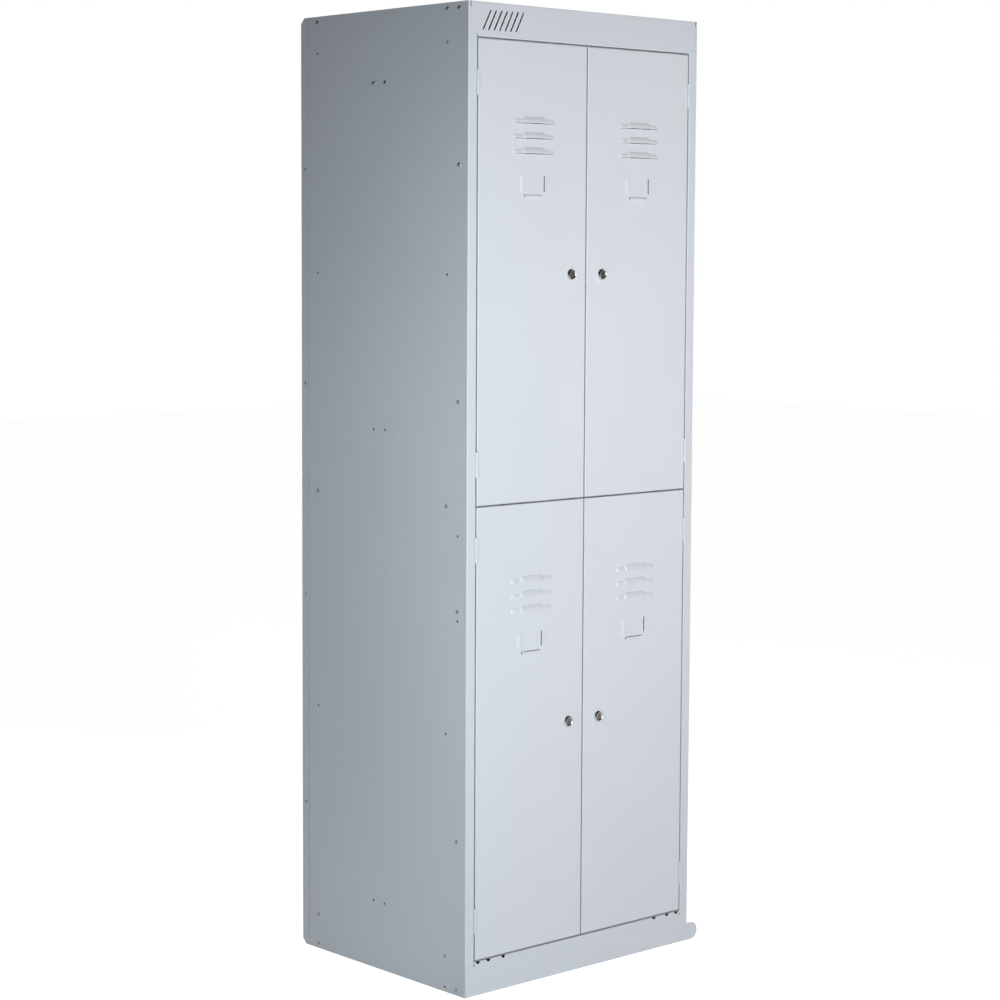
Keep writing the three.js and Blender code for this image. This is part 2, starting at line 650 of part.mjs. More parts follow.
// Hat section behind the door's face, beside the lock.
function doorStiffener(side, level) {
  const { x, width, wing, depth, endGap } = STIFFENER;
  const front = FRONT + DOOR_SHEET + FIT + SHEET;
  const half = width / 2;
  const path = [
    [x - half - wing, front],
    [x - half, front],
    [x - half, front + depth],
    [x + half, front + depth],
    [x + half, front],
    [x + half + wing, front],
  ].reverse();
  const zs = [DOOR_BASE[level] + endGap, DOOR_TOP[level] - endGap];
  return folded('z', mirrored(side, path), SHEET, zs);
}

// ---------------------------------------------------------------- locks
const turned = (outline, [x, , z]) => {
  const points = outline.map(([radius, y]) => new THREE.Vector2(radius, y));
  return solid(new THREE.LatheGeometry(points, ROUND).translate(x, 0, z));
};

function lockHousing(at) {
  const face = FRONT - LOCK_PROUD;
  const seat = FRONT - FIT;
  const rear = CAM_FRONT - 1;
  return turned(
    [
      [LOCK.bore, face],
      [LOCK.face, face],
      [LOCK.head, (face + seat) / 2],
      [LOCK.head, seat],
      [LOCK.barrel, seat],
      [LOCK.barrel, rear],
      [LOCK.bore, rear],
      [LOCK.bore, face],
    ],
    at
  );
}

function lockNut([x, , z]) {
  const acrossCorners = 13.5;
  const thickness = 4;
  const y = FRONT + DOOR_SHEET + FIT + thickness / 2;
  const hexagon = rod('y', acrossCorners, thickness, [x, y, z], 6);
  return hexagon.subtract(rod('y', LOCK.hole, thickness + 2, [x, y, z], ROUND));
}

const SCREW = { shank: 2, hole: 2.5, head: 6, depth: 8, rise: 3 };

// Round plug with a key slot in front and a square shaft behind.
function lockPlug([x, , z]) {
  const face = FRONT - LOCK_PROUD + FIT;
  const collar = CAM_FRONT - FIT;
  const end = CAM_BACK + FIT;
  const half = CAM.shaft / 2;
  const key = { width: 1.8, height: 8, depth: 7 };
  return cut(
    join([
      rod('y', LOCK.plug, collar - face, [x, (collar + face) / 2, z], ROUND),
      box([x - half, x + half], [collar - 1, end], [z - half, z + half]),
    ]),
    [
      box(
        [x - key.width / 2, x + key.width / 2],
        [face - 1, face + key.depth],
        [z - key.height / 2, z + key.height / 2]
      ),
      rod('y', SCREW.hole, 2 * SCREW.depth, [x, end, z], HOLE_ROUND),
    ]
  );
}

// Latch bar on the shaft, hanging down while the door is unlocked.
function lockCam([x, , z]) {
  const half = CAM.width / 2;
  const hole = CAM.hole / 2;
  const corner = 2;
  const low = z - CAM.reach;
  const shape = new THREE.Shape();
  shape.moveTo(x + half, z).absarc(x, z, half, 0, Math.PI);
  shape.lineTo(x - half, low + corner).lineTo(x - half + corner, low);
  shape.lineTo(x + half - corner, low).lineTo(x + half, low + corner);
  const corners = [[-hole, -hole], [hole, -hole], [hole, hole], [-hole, hole]];
  shape.holes.push(new THREE.Path(corners.map(([u, v]) => new THREE.Vector2(x + u, z + v))));
  return extruded('y', shape, [CAM_FRONT, CAM_BACK], SMALL_ROUND);
}

function camScrew([x, , z]) {
  const seat = CAM_BACK + 2 * FIT;
  const tip = seat - SCREW.depth + 1;
  return rod('y', SCREW.head, SCREW.rise, [x, seat + SCREW.rise / 2, z], 8).add(
    rod('y', SCREW.shank, seat + 1 - tip, [x, (seat + 1 + tip) / 2, z], HOLE_ROUND)
  );
}

// ---------------------------------------------------------------- assembly
addPiece('back_panel', backPanel(), FINISH.cabinet);
addPiece('roof_panel', roofPanel(), FINISH.cabinet);
addPiece('floor_panel', floorPanel(), FINISH.cabinet);
addPiece('plinth_tongue', plinthTongue(), FINISH.cabinet);
addPiece('centre_partition', centrePartition(), FINISH.cabinet);
addPiece('centre_post', centrePost(), FINISH.cabinet);
for (const [column, side] of Object.entries(SIDES)) {
  addPiece(`${column}_side_panel`, sidePanel(side), FINISH.cabinet);
  addPiece(`mid_shelf_${column}`, midShelf(side), FINISH.cabinet);
  for (const level of LEVELS) {
    const place = `${level}_${column}`;
    const lock = [side * LOCK_X, 0, DOOR_TOP[level] - LOCK_DROP];
    addPiece(`coat_rail_${place}`, coatRail(side, level), FINISH.zinc);
    addPiece(`door_${place}`, doorPanel(side, level), FINISH.door);
    addPiece(`door_stiffener_${place}`, doorStiffener(side, level), FINISH.door);
    addPiece(`lock_housing_${place}`, lockHousing(lock), FINISH.chrome);
    addPiece(`lock_nut_${place}`, lockNut(lock), FINISH.zinc);
    addPiece(`lock_plug_${place}`, lockPlug(lock), FINISH.plug);
    addPiece(`lock_cam_${place}`, lockCam(lock), FINISH.zinc);
    addPiece(`cam_screw_${place}`, camScrew(lock), FINISH.zinc);
    hingeHeights(level).forEach((z, i) => {
      const end = ['top', 'base'][i];
      addPiece(`frame_hinge_${place}_${end}`, frameHinge(side, z), FINISH.hinge);
      addPiece(`hinge_pin_${place}_${end}`, hingePin(side, z), FINISH.zinc);
    });
  }
}

const group = new THREE.Group();
cabinet.position.x = (RIVET.proud - TONGUE.reach) / 2;
group.add(cabinet);

export default group;
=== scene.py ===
"""Looks of a steel locker cabinet: folded and painted sheet, pressed louvres, chromed cam locks."""

import math

import bmesh
import bpy
from mathutils import Matrix, Vector


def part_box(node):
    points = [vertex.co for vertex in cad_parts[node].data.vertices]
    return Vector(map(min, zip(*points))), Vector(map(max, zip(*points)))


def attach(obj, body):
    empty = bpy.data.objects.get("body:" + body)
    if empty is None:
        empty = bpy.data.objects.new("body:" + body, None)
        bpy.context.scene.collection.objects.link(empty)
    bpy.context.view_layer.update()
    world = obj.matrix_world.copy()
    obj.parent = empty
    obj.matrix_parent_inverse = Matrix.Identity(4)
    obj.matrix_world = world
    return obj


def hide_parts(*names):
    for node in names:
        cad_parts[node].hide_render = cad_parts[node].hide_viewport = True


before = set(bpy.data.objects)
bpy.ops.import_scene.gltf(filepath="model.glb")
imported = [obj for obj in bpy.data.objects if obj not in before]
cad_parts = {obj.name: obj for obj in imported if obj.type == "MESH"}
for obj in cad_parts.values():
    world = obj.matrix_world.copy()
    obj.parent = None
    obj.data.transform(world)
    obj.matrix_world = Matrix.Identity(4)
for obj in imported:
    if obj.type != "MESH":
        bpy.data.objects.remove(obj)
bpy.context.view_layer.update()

MM = 0.001
LEVELS = ("upper", "lower")
SIDES = {"left": -1, "right": 1}
PLACES = [(level, column) for level in LEVELS for column in SIDES]


# ------------------------------------------------------------------ places from the frame
def middle_of(node):
    low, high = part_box(node)
    return (low + high) / 2


CENTRE_X = middle_of("centre_post").x
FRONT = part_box("roof_panel")[0].y
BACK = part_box("back_panel")[1].y
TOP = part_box("roof_panel")[1].z
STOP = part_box("centre_post")[0].y
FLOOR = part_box("floor_panel")[1].z
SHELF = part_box("mid_shelf_left")[1].z
DOOR_BASE = {level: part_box(f"door_{level}_right")[0].z for level in LEVELS}
DOOR_TOP = {level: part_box(f"door_{level}_right")[1].z for level in LEVELS}
PIN_X = middle_of("hinge_pin_upper_right_top").x - CENTRE_X
LOCK_AT = middle_of("lock_plug_upper_right")
LOCK_X = LOCK_AT.x - CENTRE_X
LOCK_DROP = DOOR_TOP["upper"] - LOCK_AT.z
HINGE_Z = {
    level: [middle_of(f"hinge_pin_{level}_right_{end}").z for end in ("top", "base")]
    for level in LEVELS
}

# ------------------------------------------------------------------ driving dimensions
SHEET = 0.8 * MM
DOOR_SHEET = 1.0 * MM
FIT = 0.3 * MM
HALF_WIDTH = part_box("roof_panel")[1].x - CENTRE_X + SHEET + FIT
GAP = 3 * MM
DOOR_DEPTH = 17.5 * MM
BEND = 1.3 * MM  # radius in the middle of a folded sheet
DOOR_BEND = 1.6 * MM
FOLD_STEPS = 5
SUPPORT = 1.5 * MM  # plain strip kept beside each fold
STILE = 21.5 * MM
HEADER = 63.2 * MM
PLINTH = 65.5 * MM
STOP_HEIGHT = 12 * MM
FLANGE = 20 * MM
CORNER_CUT = 12 * MM
BACK_STRIP = 22 * MM
BACK_SEAM = 0.8 * MM
LAP = 14 * MM
INNER = HALF_WIDTH - SHEET - FIT
BACK_INNER = BACK - SHEET - FIT
STILE_EDGE = HALF_WIDTH - STILE
OPENING_TOP = TOP - HEADER
DOOR_EDGE = PIN_X - GAP / 2
DOOR_NEAR = GAP / 2
DOOR_HEIGHT = DOOR_TOP["upper"] - DOOR_BASE["upper"]

BARREL = 3.1 * MM
PIN = 1.5 * MM
BORE = 1.7 * MM
HINGE_LENGTH = 47 * MM
HINGE_MIDDLE = 26 * MM
KNUCKLE_CLEAR = 0.4 * MM  # between a knuckle and the notch round it

RIVET_HEAD = 4.0 * MM
OPEN_HOLE = 2.5 * MM
SPARE = 1 * MM  # how far a cutter reaches past what it cuts


# ------------------------------------------------------------------ camera, light and floor
def add_camera():
    """Long lens standing off the front left corner, a little below the top."""
    data = bpy.data.cameras.new("camera")
    data.sensor_width = 36
    data.lens = 88.16
    data.shift_y = -0.03
    data.clip_end = 100
    camera = bpy.data.objects.new("camera", data)
    bpy.context.scene.collection.objects.link(camera)
    place = Vector((CENTRE_X - 3.2593, -3.6258, 1.3964))
    yaw, pitch, roll = (math.radians(angle) for angle in (42.01, 5.09, 0.28))
    camera.matrix_world = (
        Matrix.Translation(place)
        @ Matrix.Rotation(-yaw, 4, "Z")
        @ Matrix.Rotation(math.pi / 2 - pitch, 4, "X")
        @ Matrix.Rotation(roll, 4, "Z")
    )
    bpy.context.scene.camera = camera


def add_softbox(name, place, target, size, power, colour, spread):
    data = bpy.data.lights.new(name, "AREA")
    data.shape = "RECTANGLE"
    data.size, data.size_y = size
    data.energy = power
    data.color = colour
    data.spread = math.radians(spread)
    light = bpy.data.objects.new(name, data)
    bpy.context.scene.collection.objects.link(light)
    place = Vector(place)
    aim = (Vector(target) - place).to_track_quat("-Z", "Y")
    light.matrix_world = Matrix.Translation(place) @ aim.to_matrix().to_4x4()
    light.visible_camera = False


def split_by_camera(tree, output, unseen, seen):
    """One shader for the camera's own rays and another for light that bounces."""
    mix = tree.nodes.new("ShaderNodeMixShader")
    path = tree.nodes.new("ShaderNodeLightPath")
    tree.links.new(path.outputs["Is Camera Ray"], mix.inputs["Fac"])
    tree.links.new(unseen, mix.inputs[1])
    tree.links.new(seen, mix.inputs[2])
    tree.links.new(mix.outputs["Shader"], output.inputs["Surface"])


# name, place, what it faces, width and height, power, colour, spread in degrees
WHITE = (1, 1, 1)
COOL = (0.80, 0.94, 1.0)
LIGHTS = [
    ("key", (-0.85, -4.2, 1.4), (CENTRE_X + 0.45, FRONT, 1.2), (1.1, 0.9), 31.5, (1.0, 0.985, 0.965), 80),
    ("side_strip", (-0.88, -0.5, 0.95), (-0.3, 0.0, 0.95), (0.3, 1.5), 3.3, COOL, 180),
    ("left_card", (-3.2, 0.1, 1.25), (CENTRE_X, 0, 1.2), (0.9, 1.3), 0.6, WHITE, 180),
    ("rear_card", (-2.5, 2.6, 0.75), (CENTRE_X - 0.3, 0.2, 0.9), (0.7, 0.9), 3.6, WHITE, 180),
    ("floor_pool", (-1.05, 0.0, 0.8), (-1.05, 0.0, 0), (0.8, 1.0), 1, WHITE, 90),
    # These three reach only the faces that are turned away from the camera.
    ("roof_card", (CENTRE_X, 0.0, TOP + 1.4), (CENTRE_X, 0.0, TOP), (0.5, 0.4), 1.5, WHITE, 60),
    ("right_card", (CENTRE_X + 3.3, 0.5, 1.1), (CENTRE_X + 0.3, 0.0, 0.95), (0.7, 1.4), 5.5, WHITE, 60),
    ("back_card", (CENTRE_X + 0.15, 3.5, 1.1), (CENTRE_X, BACK, 0.95), (0.5, 1.4), 6.5, WHITE, 60),
]
ROOM_GLOW = 0.02


def add_background(tree, colour, strength=1.0):
    shader = tree.nodes.new("ShaderNodeBackground")
    shader.inputs["Color"].default_value = (*colour, 1)
    shader.inputs["Strength"].default_value = strength
    return shader.outputs["Background"]


def add_studio():
    """White behind the cabinet, a dim room round it, soft light from the front and the left."""
    world = bpy.data.worlds.new("studio")
    bpy.context.scene.world = world
    world.use_nodes = True
    tree = world.node_tree
    tree.nodes.clear()
    output = tree.nodes.new("ShaderNodeOutputWorld")
    room = add_background(tree, (0.80, 0.90, 1.0), ROOM_GLOW)
    split_by_camera(tree, output, room, add_background(tree, WHITE))
    for light in LIGHTS:
        add_softbox(*light)


FLOOR_REACH = 14.0
PAINTED_SHADE_INSET = 3 * MM  # the patch of painted shade ends this far inside the cabinet's foot
FLOOR_TONES = ((0.75, 0.26), (0.5, 0.97))
# Painted shade: the floor under the cabinet is dark and gives no glow.
PAINTED_SHADE_TONES = ((0.1, 0.0), (0.1, 0.0))


def floor_surface(name, tones):
    """Matte surface as (albedo, glow), first for bounced light and then for the camera."""
    material = bpy.data.materials.new(name)
    material.use_nodes = True
    tree = material.node_tree
    tree.nodes.clear()
    output = tree.nodes.new("ShaderNodeOutputMaterial")
    ways = []
    for albedo, glow in tones:
        shader = tree.nodes.new("ShaderNodeBsdfPrincipled")
        shader.inputs["Base Color"].default_value = (albedo, albedo, albedo, 1)
        shader.inputs["Roughness"].default_value = 0.95
        shader.inputs["Specular IOR Level"].default_value = 0.1
        shader.inputs["Emission Color"].default_value = (1, 1, 1, 1)
        shader.inputs["Emission Strength"].default_value = glow
        ways.append(shader.outputs["BSDF"])
    split_by_camera(tree, output, *ways)
    return material


def add_floor():
    """White floor with a patch of painted shade under the cabinet, where no light reaches it."""
    left, right = CENTRE_X - HALF_WIDTH + PAINTED_SHADE_INSET, CENTRE_X + HALF_WIDTH - PAINTED_SHADE_INSET
    near, far = FRONT + PAINTED_SHADE_INSET, BACK - PAINTED_SHADE_INSET
    reach = FLOOR_REACH
    corners = range(4)
    under = [(left, near, 0), (right, near, 0), (right, far, 0), (left, far, 0)]
    edge = [(-reach, -reach, 0), (reach, -reach, 0), (reach, reach, 0), (-reach, reach, 0)]
    faces = [(0, 1, 2, 3)] + [(4 + k, 4 + (k + 1) % 4, (k + 1) % 4, k) for k in corners]
    mesh = bpy.data.meshes.new("floor")
    mesh.from_pydata(under + edge, [], faces)
    mesh.materials.append(floor_surface("studio_floor", FLOOR_TONES))
    mesh.materials.append(floor_surface("floor_under_cabinet", PAINTED_SHADE_TONES))
    # The patch under the cabinet takes the painted shade.
    mesh.polygons[0].material_index = 1
    floor = bpy.data.objects.new("floor", mesh)
    bpy.context.scene.collection.objects.link(floor)


# ------------------------------------------------------------------ materials
NOISE_SPAN = (0.3, 0.7)
COAT_SHADE = 0.965  # the coat's darker patches against its own colour
COAT_ROUGHNESS = (0.36, 0.46)
PEEL = (240, 0.06 * MM)  # orange peel: noise scale and height
POWDER = (1500, 0.02 * MM)  # grain of the powder
PLATE_SHADE = 0.86
GRAIN = 0.02 * MM


def new_material(name):
    material = bpy.data.materials.new(name)
    material.use_nodes = True
    tree = material.node_tree
    shader = tree.nodes["Principled BSDF"]
    where = tree.nodes.new("ShaderNodeTexCoord").outputs["Object"]
    return material, tree, shader, where


def add_noise(tree, where, scale, detail=2.0, stretch=None):
    noise = tree.nodes.new("ShaderNodeTexNoise")
    noise.inputs["Scale"].default_value = scale
    noise.inputs["Detail"].default_value = detail
    if stretch:
        mapping = tree.nodes.new("ShaderNodeMapping")
        mapping.inputs["Scale"].default_value = stretch
        tree.links.new(where, mapping.inputs["Vector"])
        where = mapping.outputs["Vector"]
    tree.links.new(where, noise.inputs["Vector"])
    return noise.outputs["Fac"]


def add_range(tree, value, low, high):
    """Spreads the middle of a noise, where nearly all of it lies, over a range."""
    scale = tree.nodes.new("ShaderNodeMapRange")
    scale.inputs["From Min"].default_value, scale.inputs["From Max"].default_value = NOISE_SPAN
    scale.inputs["To Min"].default_value = low
    scale.inputs["To Max"].default_value = high
    tree.links.new(value, scale.inputs["Value"])
    return scale.outputs["Result"]


def add_bump(tree, shader, height, distance, strength, below=None):
    bump = tree.nodes.new("ShaderNodeBump")
    bump.inputs["Strength"].default_value = strength
    bump.inputs["Distance"].default_value = distance
    tree.links.new(height, bump.inputs["Height"])
    if below:
        tree.links.new(below.outputs["Normal"], bump.inputs["Normal"])
    tree.links.new(bump.outputs["Normal"], shader.inputs["Normal"])
    return bump


def blend_colours(tree, factor, first, second):
    mix = tree.nodes.new("ShaderNodeMix")
    mix.data_type = "RGBA"
    mix.inputs["A"].default_value = (*first, 1)
    mix.inputs["B"].default_value = (*second, 1)
    tree.links.new(factor, mix.inputs["Factor"])
    return mix.outputs["Result"]


def powder_coat(name, colour):
    """Baked powder coat: even colour, satin, with the fine orange peel of sprayed powder."""
    material, tree, shader, where = new_material(name)
    cloud = add_noise(tree, where, 2.3, 3)
    darker = [channel * COAT_SHADE for channel in colour]
    tint = add_range(tree, cloud, 0, 1)
    tree.links.new(blend_colours(tree, tint, colour, darker), shader.inputs["Base Color"])
    gloss = add_range(tree, add_noise(tree, where, 38, 4), *COAT_ROUGHNESS)
    tree.links.new(gloss, shader.inputs["Roughness"])
    waves = add_bump(tree, shader, add_noise(tree, where, PEEL[0]), PEEL[1], 0.5)
    add_bump(tree, shader, add_noise(tree, where, POWDER[0]), POWDER[1], 0.5, below=waves)
    shader.inputs["IOR"].default_value = 1.5
    return material


def plated(name, colour, roughness, grain=0.0):
    """Plated steel: bright metal with a faint grain along its length."""
    material, tree, shader, where = new_material(name)
    shader.inputs["Metallic"].default_value = 1.0
    patch = add_range(tree, add_noise(tree, where, 160, 3), 0, 1)
    darker = [channel * PLATE_SHADE for channel in colour]
    tree.links.new(blend_colours(tree, patch, colour, darker), shader.inputs["Base Color"])
    shine = add_range(tree, add_noise(tree, where, 420, 3), roughness * 0.8, roughness * 1.3)
    tree.links.new(shine, shader.inputs["Roughness"])
    if grain:
        lines = add_noise(tree, where, 700, stretch=(0.05, 1, 1))
        add_bump(tree, shader, lines, GRAIN, grain)
    return material


PAINT = powder_coat("cabinet_powder_coat", (0.585, 0.625, 0.675))
DOOR_PAINT = powder_coat("door_powder_coat", (0.615, 0.655, 0.705))
ZINC = plated("bright_zinc", (0.62, 0.63, 0.64), 0.32, grain=0.3)
CHROME = plated("polished_chrome", (0.82, 0.82, 0.83), 0.06)
NICKEL = plated("worn_nickel", (0.60, 0.55, 0.52), 0.3, grain=0.15)
RIVET_METAL = plated("rivet_aluminium", (0.50, 0.52, 0.54), 0.34)


# ------------------------------------------------------------------ mesh helpers
WELD = 0.003 * MM  # points closer than this become one
SLIVER = 0.001 * MM
BEND_SHARE = 0.45  # the most of a short side that a bend may take up
STRIP_SHARE = 0.08
ON_AXIS = 1e-7


def to_object(bm, name):
    mesh = bpy.data.meshes.new(name)
    bm.to_mesh(mesh)
    bm.free()
    made = bpy.data.objects.new(name, mesh)
    bpy.context.scene.collection.objects.link(made)
    return made


def evaluated(thing):
    """Plain mesh of an object with its modifiers applied."""
    bpy.context.view_layer.update()
    graph = bpy.context.evaluated_depsgraph_get()
    return bpy.data.meshes.new_from_object(thing.evaluated_get(graph))


def apply_modifiers(thing):
    old = thing.data
    mesh = evaluated(thing)
    thing.modifiers.clear()
    thing.data = mesh
    mesh.name = thing.name
    bpy.data.meshes.remove(old)
    return thing


def drop(thing):
    mesh = thing.data
    bpy.data.objects.remove(thing)
    if mesh.users == 0:
        bpy.data.meshes.remove(mesh)


def combine(thing, tool, operation="DIFFERENCE"):
    """Cuts or joins one closed mesh with another, and removes the tool."""
    boolean = thing.modifiers.new("combine", "BOOLEAN")
    boolean.operation = operation
    boolean.solver = "EXACT"
    boolean.object = tool
    apply_modifiers(thing)
    drop(tool)
    bm = bmesh.new()
    bm.from_mesh(thing.data)
    bmesh.ops.remove_doubles(bm, verts=bm.verts, dist=WELD)
    bmesh.ops.dissolve_degenerate(bm, edges=bm.edges, dist=SLIVER)
    bm.to_mesh(thing.data)
    bm.free()
    return thing


def crisp(thing, angle=30):
    """Smooth shading that breaks at folds sharper than the angle."""
    bm = bmesh.new()
    bm.from_mesh(thing.data)
    limit = math.radians(angle)
    for face in bm.faces:
        face.smooth = True
    for edge in bm.edges:
        edge.smooth = len(edge.link_faces) == 2 and edge.calc_face_angle(0) < limit
    bm.to_mesh(thing.data)
    bm.free()
    return thing


def add_box(bm, xs, ys, zs):
    low = Vector((min(xs), min(ys), min(zs)))
    high = Vector((max(xs), max(ys), max(zs)))
    made = bmesh.ops.create_cube(bm, size=1)
    for vert in made["verts"]:
        vert.co = Vector(
            (
                high.x if vert.co.x > 0 else low.x,
                high.y if vert.co.y > 0 else low.y,
                high.z if vert.co.z > 0 else low.z,
            )
        )


def boxes(name, corner_sets):
    bm = bmesh.new()
    for corners in corner_sets:
        add_box(bm, *corners)
    return to_object(bm, name)


def rounded_path(points, radius):
    """Points along a path with its corners as arcs, each with the path's left at that point."""
    points = [Vector(point) for point in points]
    found = []

    def left(direction):
        return Vector((-direction.y, direction.x))

    first = (points[1] - points[0]).normalized()
    last = (points[-1] - points[-2]).normalized()
    found.append((points[0], left(first)))
    for before, corner, after in zip(points, points[1:], points[2:]):
        way_in = (corner - before).normalized()
        way_out = (after - corner).normalized()
        turn = way_in.angle_signed(way_out)
        shorter = min((corner - before).length, (after - corner).length)
        reach = min(radius * math.tan(abs(turn) / 2), shorter * BEND_SHARE)
        bend = reach / math.tan(abs(turn) / 2)
        start = corner - way_in * reach
        centre = start + left(way_in) * math.copysign(bend, -turn)
        keep = min(SUPPORT, (shorter - reach) * STRIP_SHARE)
        found.append((start - way_in * keep, left(way_in)))
        for step in range(FOLD_STEPS + 1):
            spin = Matrix.Rotation(-turn * step / FOLD_STEPS, 2)
            found.append((centre + spin @ (start - centre), spin @ left(way_in)))
        found.append((corner + way_out * (reach + keep), left(way_out)))
    found.append((points[-1], left(last)))
    return found


AXES = {"x": (1, 2, 0), "y": (0, 2, 1), "z": (0, 1, 2)}  # where u, v and the span go


def folded(name, axis, path, sheet, span, radius=BEND):
    """Sheet folded along a path down its middle, as long as the span along an axis."""
    line = rounded_path(path, radius)
    outline = [point + normal * sheet / 2 for point, normal in line]
    outline += [point - normal * sheet / 2 for point, normal in reversed(line)]
    bm = bmesh.new()
    ends = []
    for depth in span:
        ring = []
        for u, v in outline:
            place = [0, 0, 0]
            for value, slot in zip((u, v, depth), AXES[axis]):
                place[slot] = value
            ring.append(bm.verts.new(place))
        ends.append(ring)
    count = len(outline)
    half = len(line)
    for i in range(count):
        j = (i + 1) % count
        bm.faces.new((ends[0][i], ends[0][j], ends[1][j], ends[1][i]))
    for ring in ends:
        for i in range(half - 1):
            bm.faces.new((ring[i], ring[i + 1], ring[count - 2 - i], ring[count - 1 - i]))
    bmesh.ops.recalc_face_normals(bm, faces=bm.faces)
    return to_object(bm, name)


def lathe(name, outline, centre, sides=64):
    """Turned piece about an axis along Y; the outline holds (radius, y) and closes on itself."""
    bm = bmesh.new()
    rings = []
    for radius, y in outline:
        if radius < ON_AXIS:
            rings.append([bm.verts.new((centre.x, y, centre.z))] * sides)
            continue
        angles = [2 * math.pi * k / sides for k in range(sides)]
        rings.append(
            [
                bm.verts.new((centre.x + radius * math.cos(a), y, centre.z + radius * math.sin(a)))
                for a in angles
            ]
        )
    for ring, after in zip(rings, rings[1:] + rings[:1]):
        for k in range(sides):
            corners = [ring[k], ring[(k + 1) % sides], after[(k + 1) % sides], after[k]]
            unique = list(dict.fromkeys(corners))
            if len(unique) > 2:
                bm.faces.new(unique)
    bmesh.ops.recalc_face_normals(bm, faces=bm.faces)
    return to_object(bm, name)


def tube(name, centre, outer, inner, zs, sides=32, chamfer=0.25 * MM):
    """Upright tube with softened ends."""
    made = lathe(
        name,
        [
            (outer - chamfer, 0),
            (outer, chamfer),
            (outer, zs[1] - zs[0] - chamfer),
            (outer - chamfer, zs[1] - zs[0]),
            (inner, zs[1] - zs[0]),
            (inner, 0),
        ],
        Vector((0, 0, 0)),
        sides,
    )
    turn = Matrix.Translation((centre[0], centre[1], zs[0])) @ Matrix.Rotation(math.pi / 2, 4, "X")
    made.data.transform(turn)
    return made


def settle(thing):
    """Recalculates normals so that they point outwards."""
    bm = bmesh.new()
    bm.from_mesh(thing.data)
    bmesh.ops.recalc_face_normals(bm, faces=bm.faces)
    bm.to_mesh(thing.data)
    bm.free()
    return thing


def placed(pattern, name, side=1, up=0.0):
    """Copy of a piece made for the right side about x = 0, mirrored for the left."""
    mesh = pattern.data.copy()
    mesh.transform(Matrix.Translation((CENTRE_X, 0, up)) @ Matrix.Diagonal((side, 1, 1, 1)))
    if side < 0:
        mesh.flip_normals()
    mesh.name = name
    made = bpy.data.objects.new(name, mesh)
    bpy.context.scene.collection.objects.link(made)
    return made


def merge(name, parts):
    """One mesh out of several, kept as separate shells."""
    bm = bmesh.new()
    for part in parts:
        bm.from_mesh(part.data)
    for part in parts:
        drop(part)
    return to_object(bm, name)


def show(piece, body, material, slot, *nodes):
    """Gives a finished piece its material and its body, and hides the nodes that it stands for."""
    piece.data.materials.clear()
    piece.data.materials.append(material)
    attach(piece, body)
    if nodes:
        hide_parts(*nodes)
    return piece


# ------------------------------------------------------------------ geometry node patterns
def new_tree(name, sizes):
    """Empty geometry tree with a named input for each size."""
    tree = bpy.data.node_groups.new(name, "GeometryNodeTree")
    tree.interface.new_socket("Geometry", in_out="INPUT", socket_type="NodeSocketGeometry")
    for label, value in sizes.items():
        kind = "NodeSocketInt" if isinstance(value, int) else "NodeSocketFloat"
        socket = tree.interface.new_socket(label, in_out="INPUT", socket_type=kind)
        socket.default_value = value
    tree.interface.new_socket("Geometry", in_out="OUTPUT", socket_type="NodeSocketGeometry")
    return tree, tree.nodes.new("NodeGroupInput"), tree.nodes.new("NodeGroupOutput")


def finish_tree(tree, instances, output, material):
    realize = tree.nodes.new("GeometryNodeRealizeInstances")
    paint = tree.nodes.new("GeometryNodeSetMaterial")
    paint.inputs["Material"].default_value = material
    tree.links.new(instances, realize.inputs["Geometry"])
    tree.links.new(realize.outputs["Geometry"], paint.inputs["Geometry"])
    tree.links.new(paint.outputs["Geometry"], output.inputs["Geometry"])


def run_tree(tree, name, points, sizes):
    """Object whose vertices are the points, turned into a plain mesh by the tree."""
    mesh = bpy.data.meshes.new(name)
    mesh.from_pydata([tuple(point) for point in points], [], [])
    made = bpy.data.objects.new(name, mesh)
    bpy.context.scene.collection.objects.link(made)
    modifier = made.modifiers.new("pattern", "NODES")
    modifier.node_group = tree
    for item in tree.interface.items_tree:
        if item.item_type == "SOCKET" and item.in_out == "INPUT" and item.name in sizes:
            modifier[item.identifier] = sizes[item.name]
    return apply_modifiers(made)


def punch_tree():
    """Round punches along X, one on each point."""
    sizes = {"Radius": OPEN_HOLE, "Length": 4 * MM, "Sides": 24}
    tree, given, output = new_tree("round_punches", sizes)
    pin = tree.nodes.new("GeometryNodeMeshCylinder")
    tree.links.new(given.outputs["Radius"], pin.inputs["Radius"])
    tree.links.new(given.outputs["Length"], pin.inputs["Depth"])
    tree.links.new(given.outputs["Sides"], pin.inputs["Vertices"])
    copies = tree.nodes.new("GeometryNodeInstanceOnPoints")
    copies.inputs["Rotation"].default_value = (0, math.pi / 2, 0)
    tree.links.new(given.outputs["Geometry"], copies.inputs["Points"])
    tree.links.new(pin.outputs["Mesh"], copies.inputs["Instance"])
    finish_tree(tree, copies.outputs["Instances"], output, PAINT)
    return tree


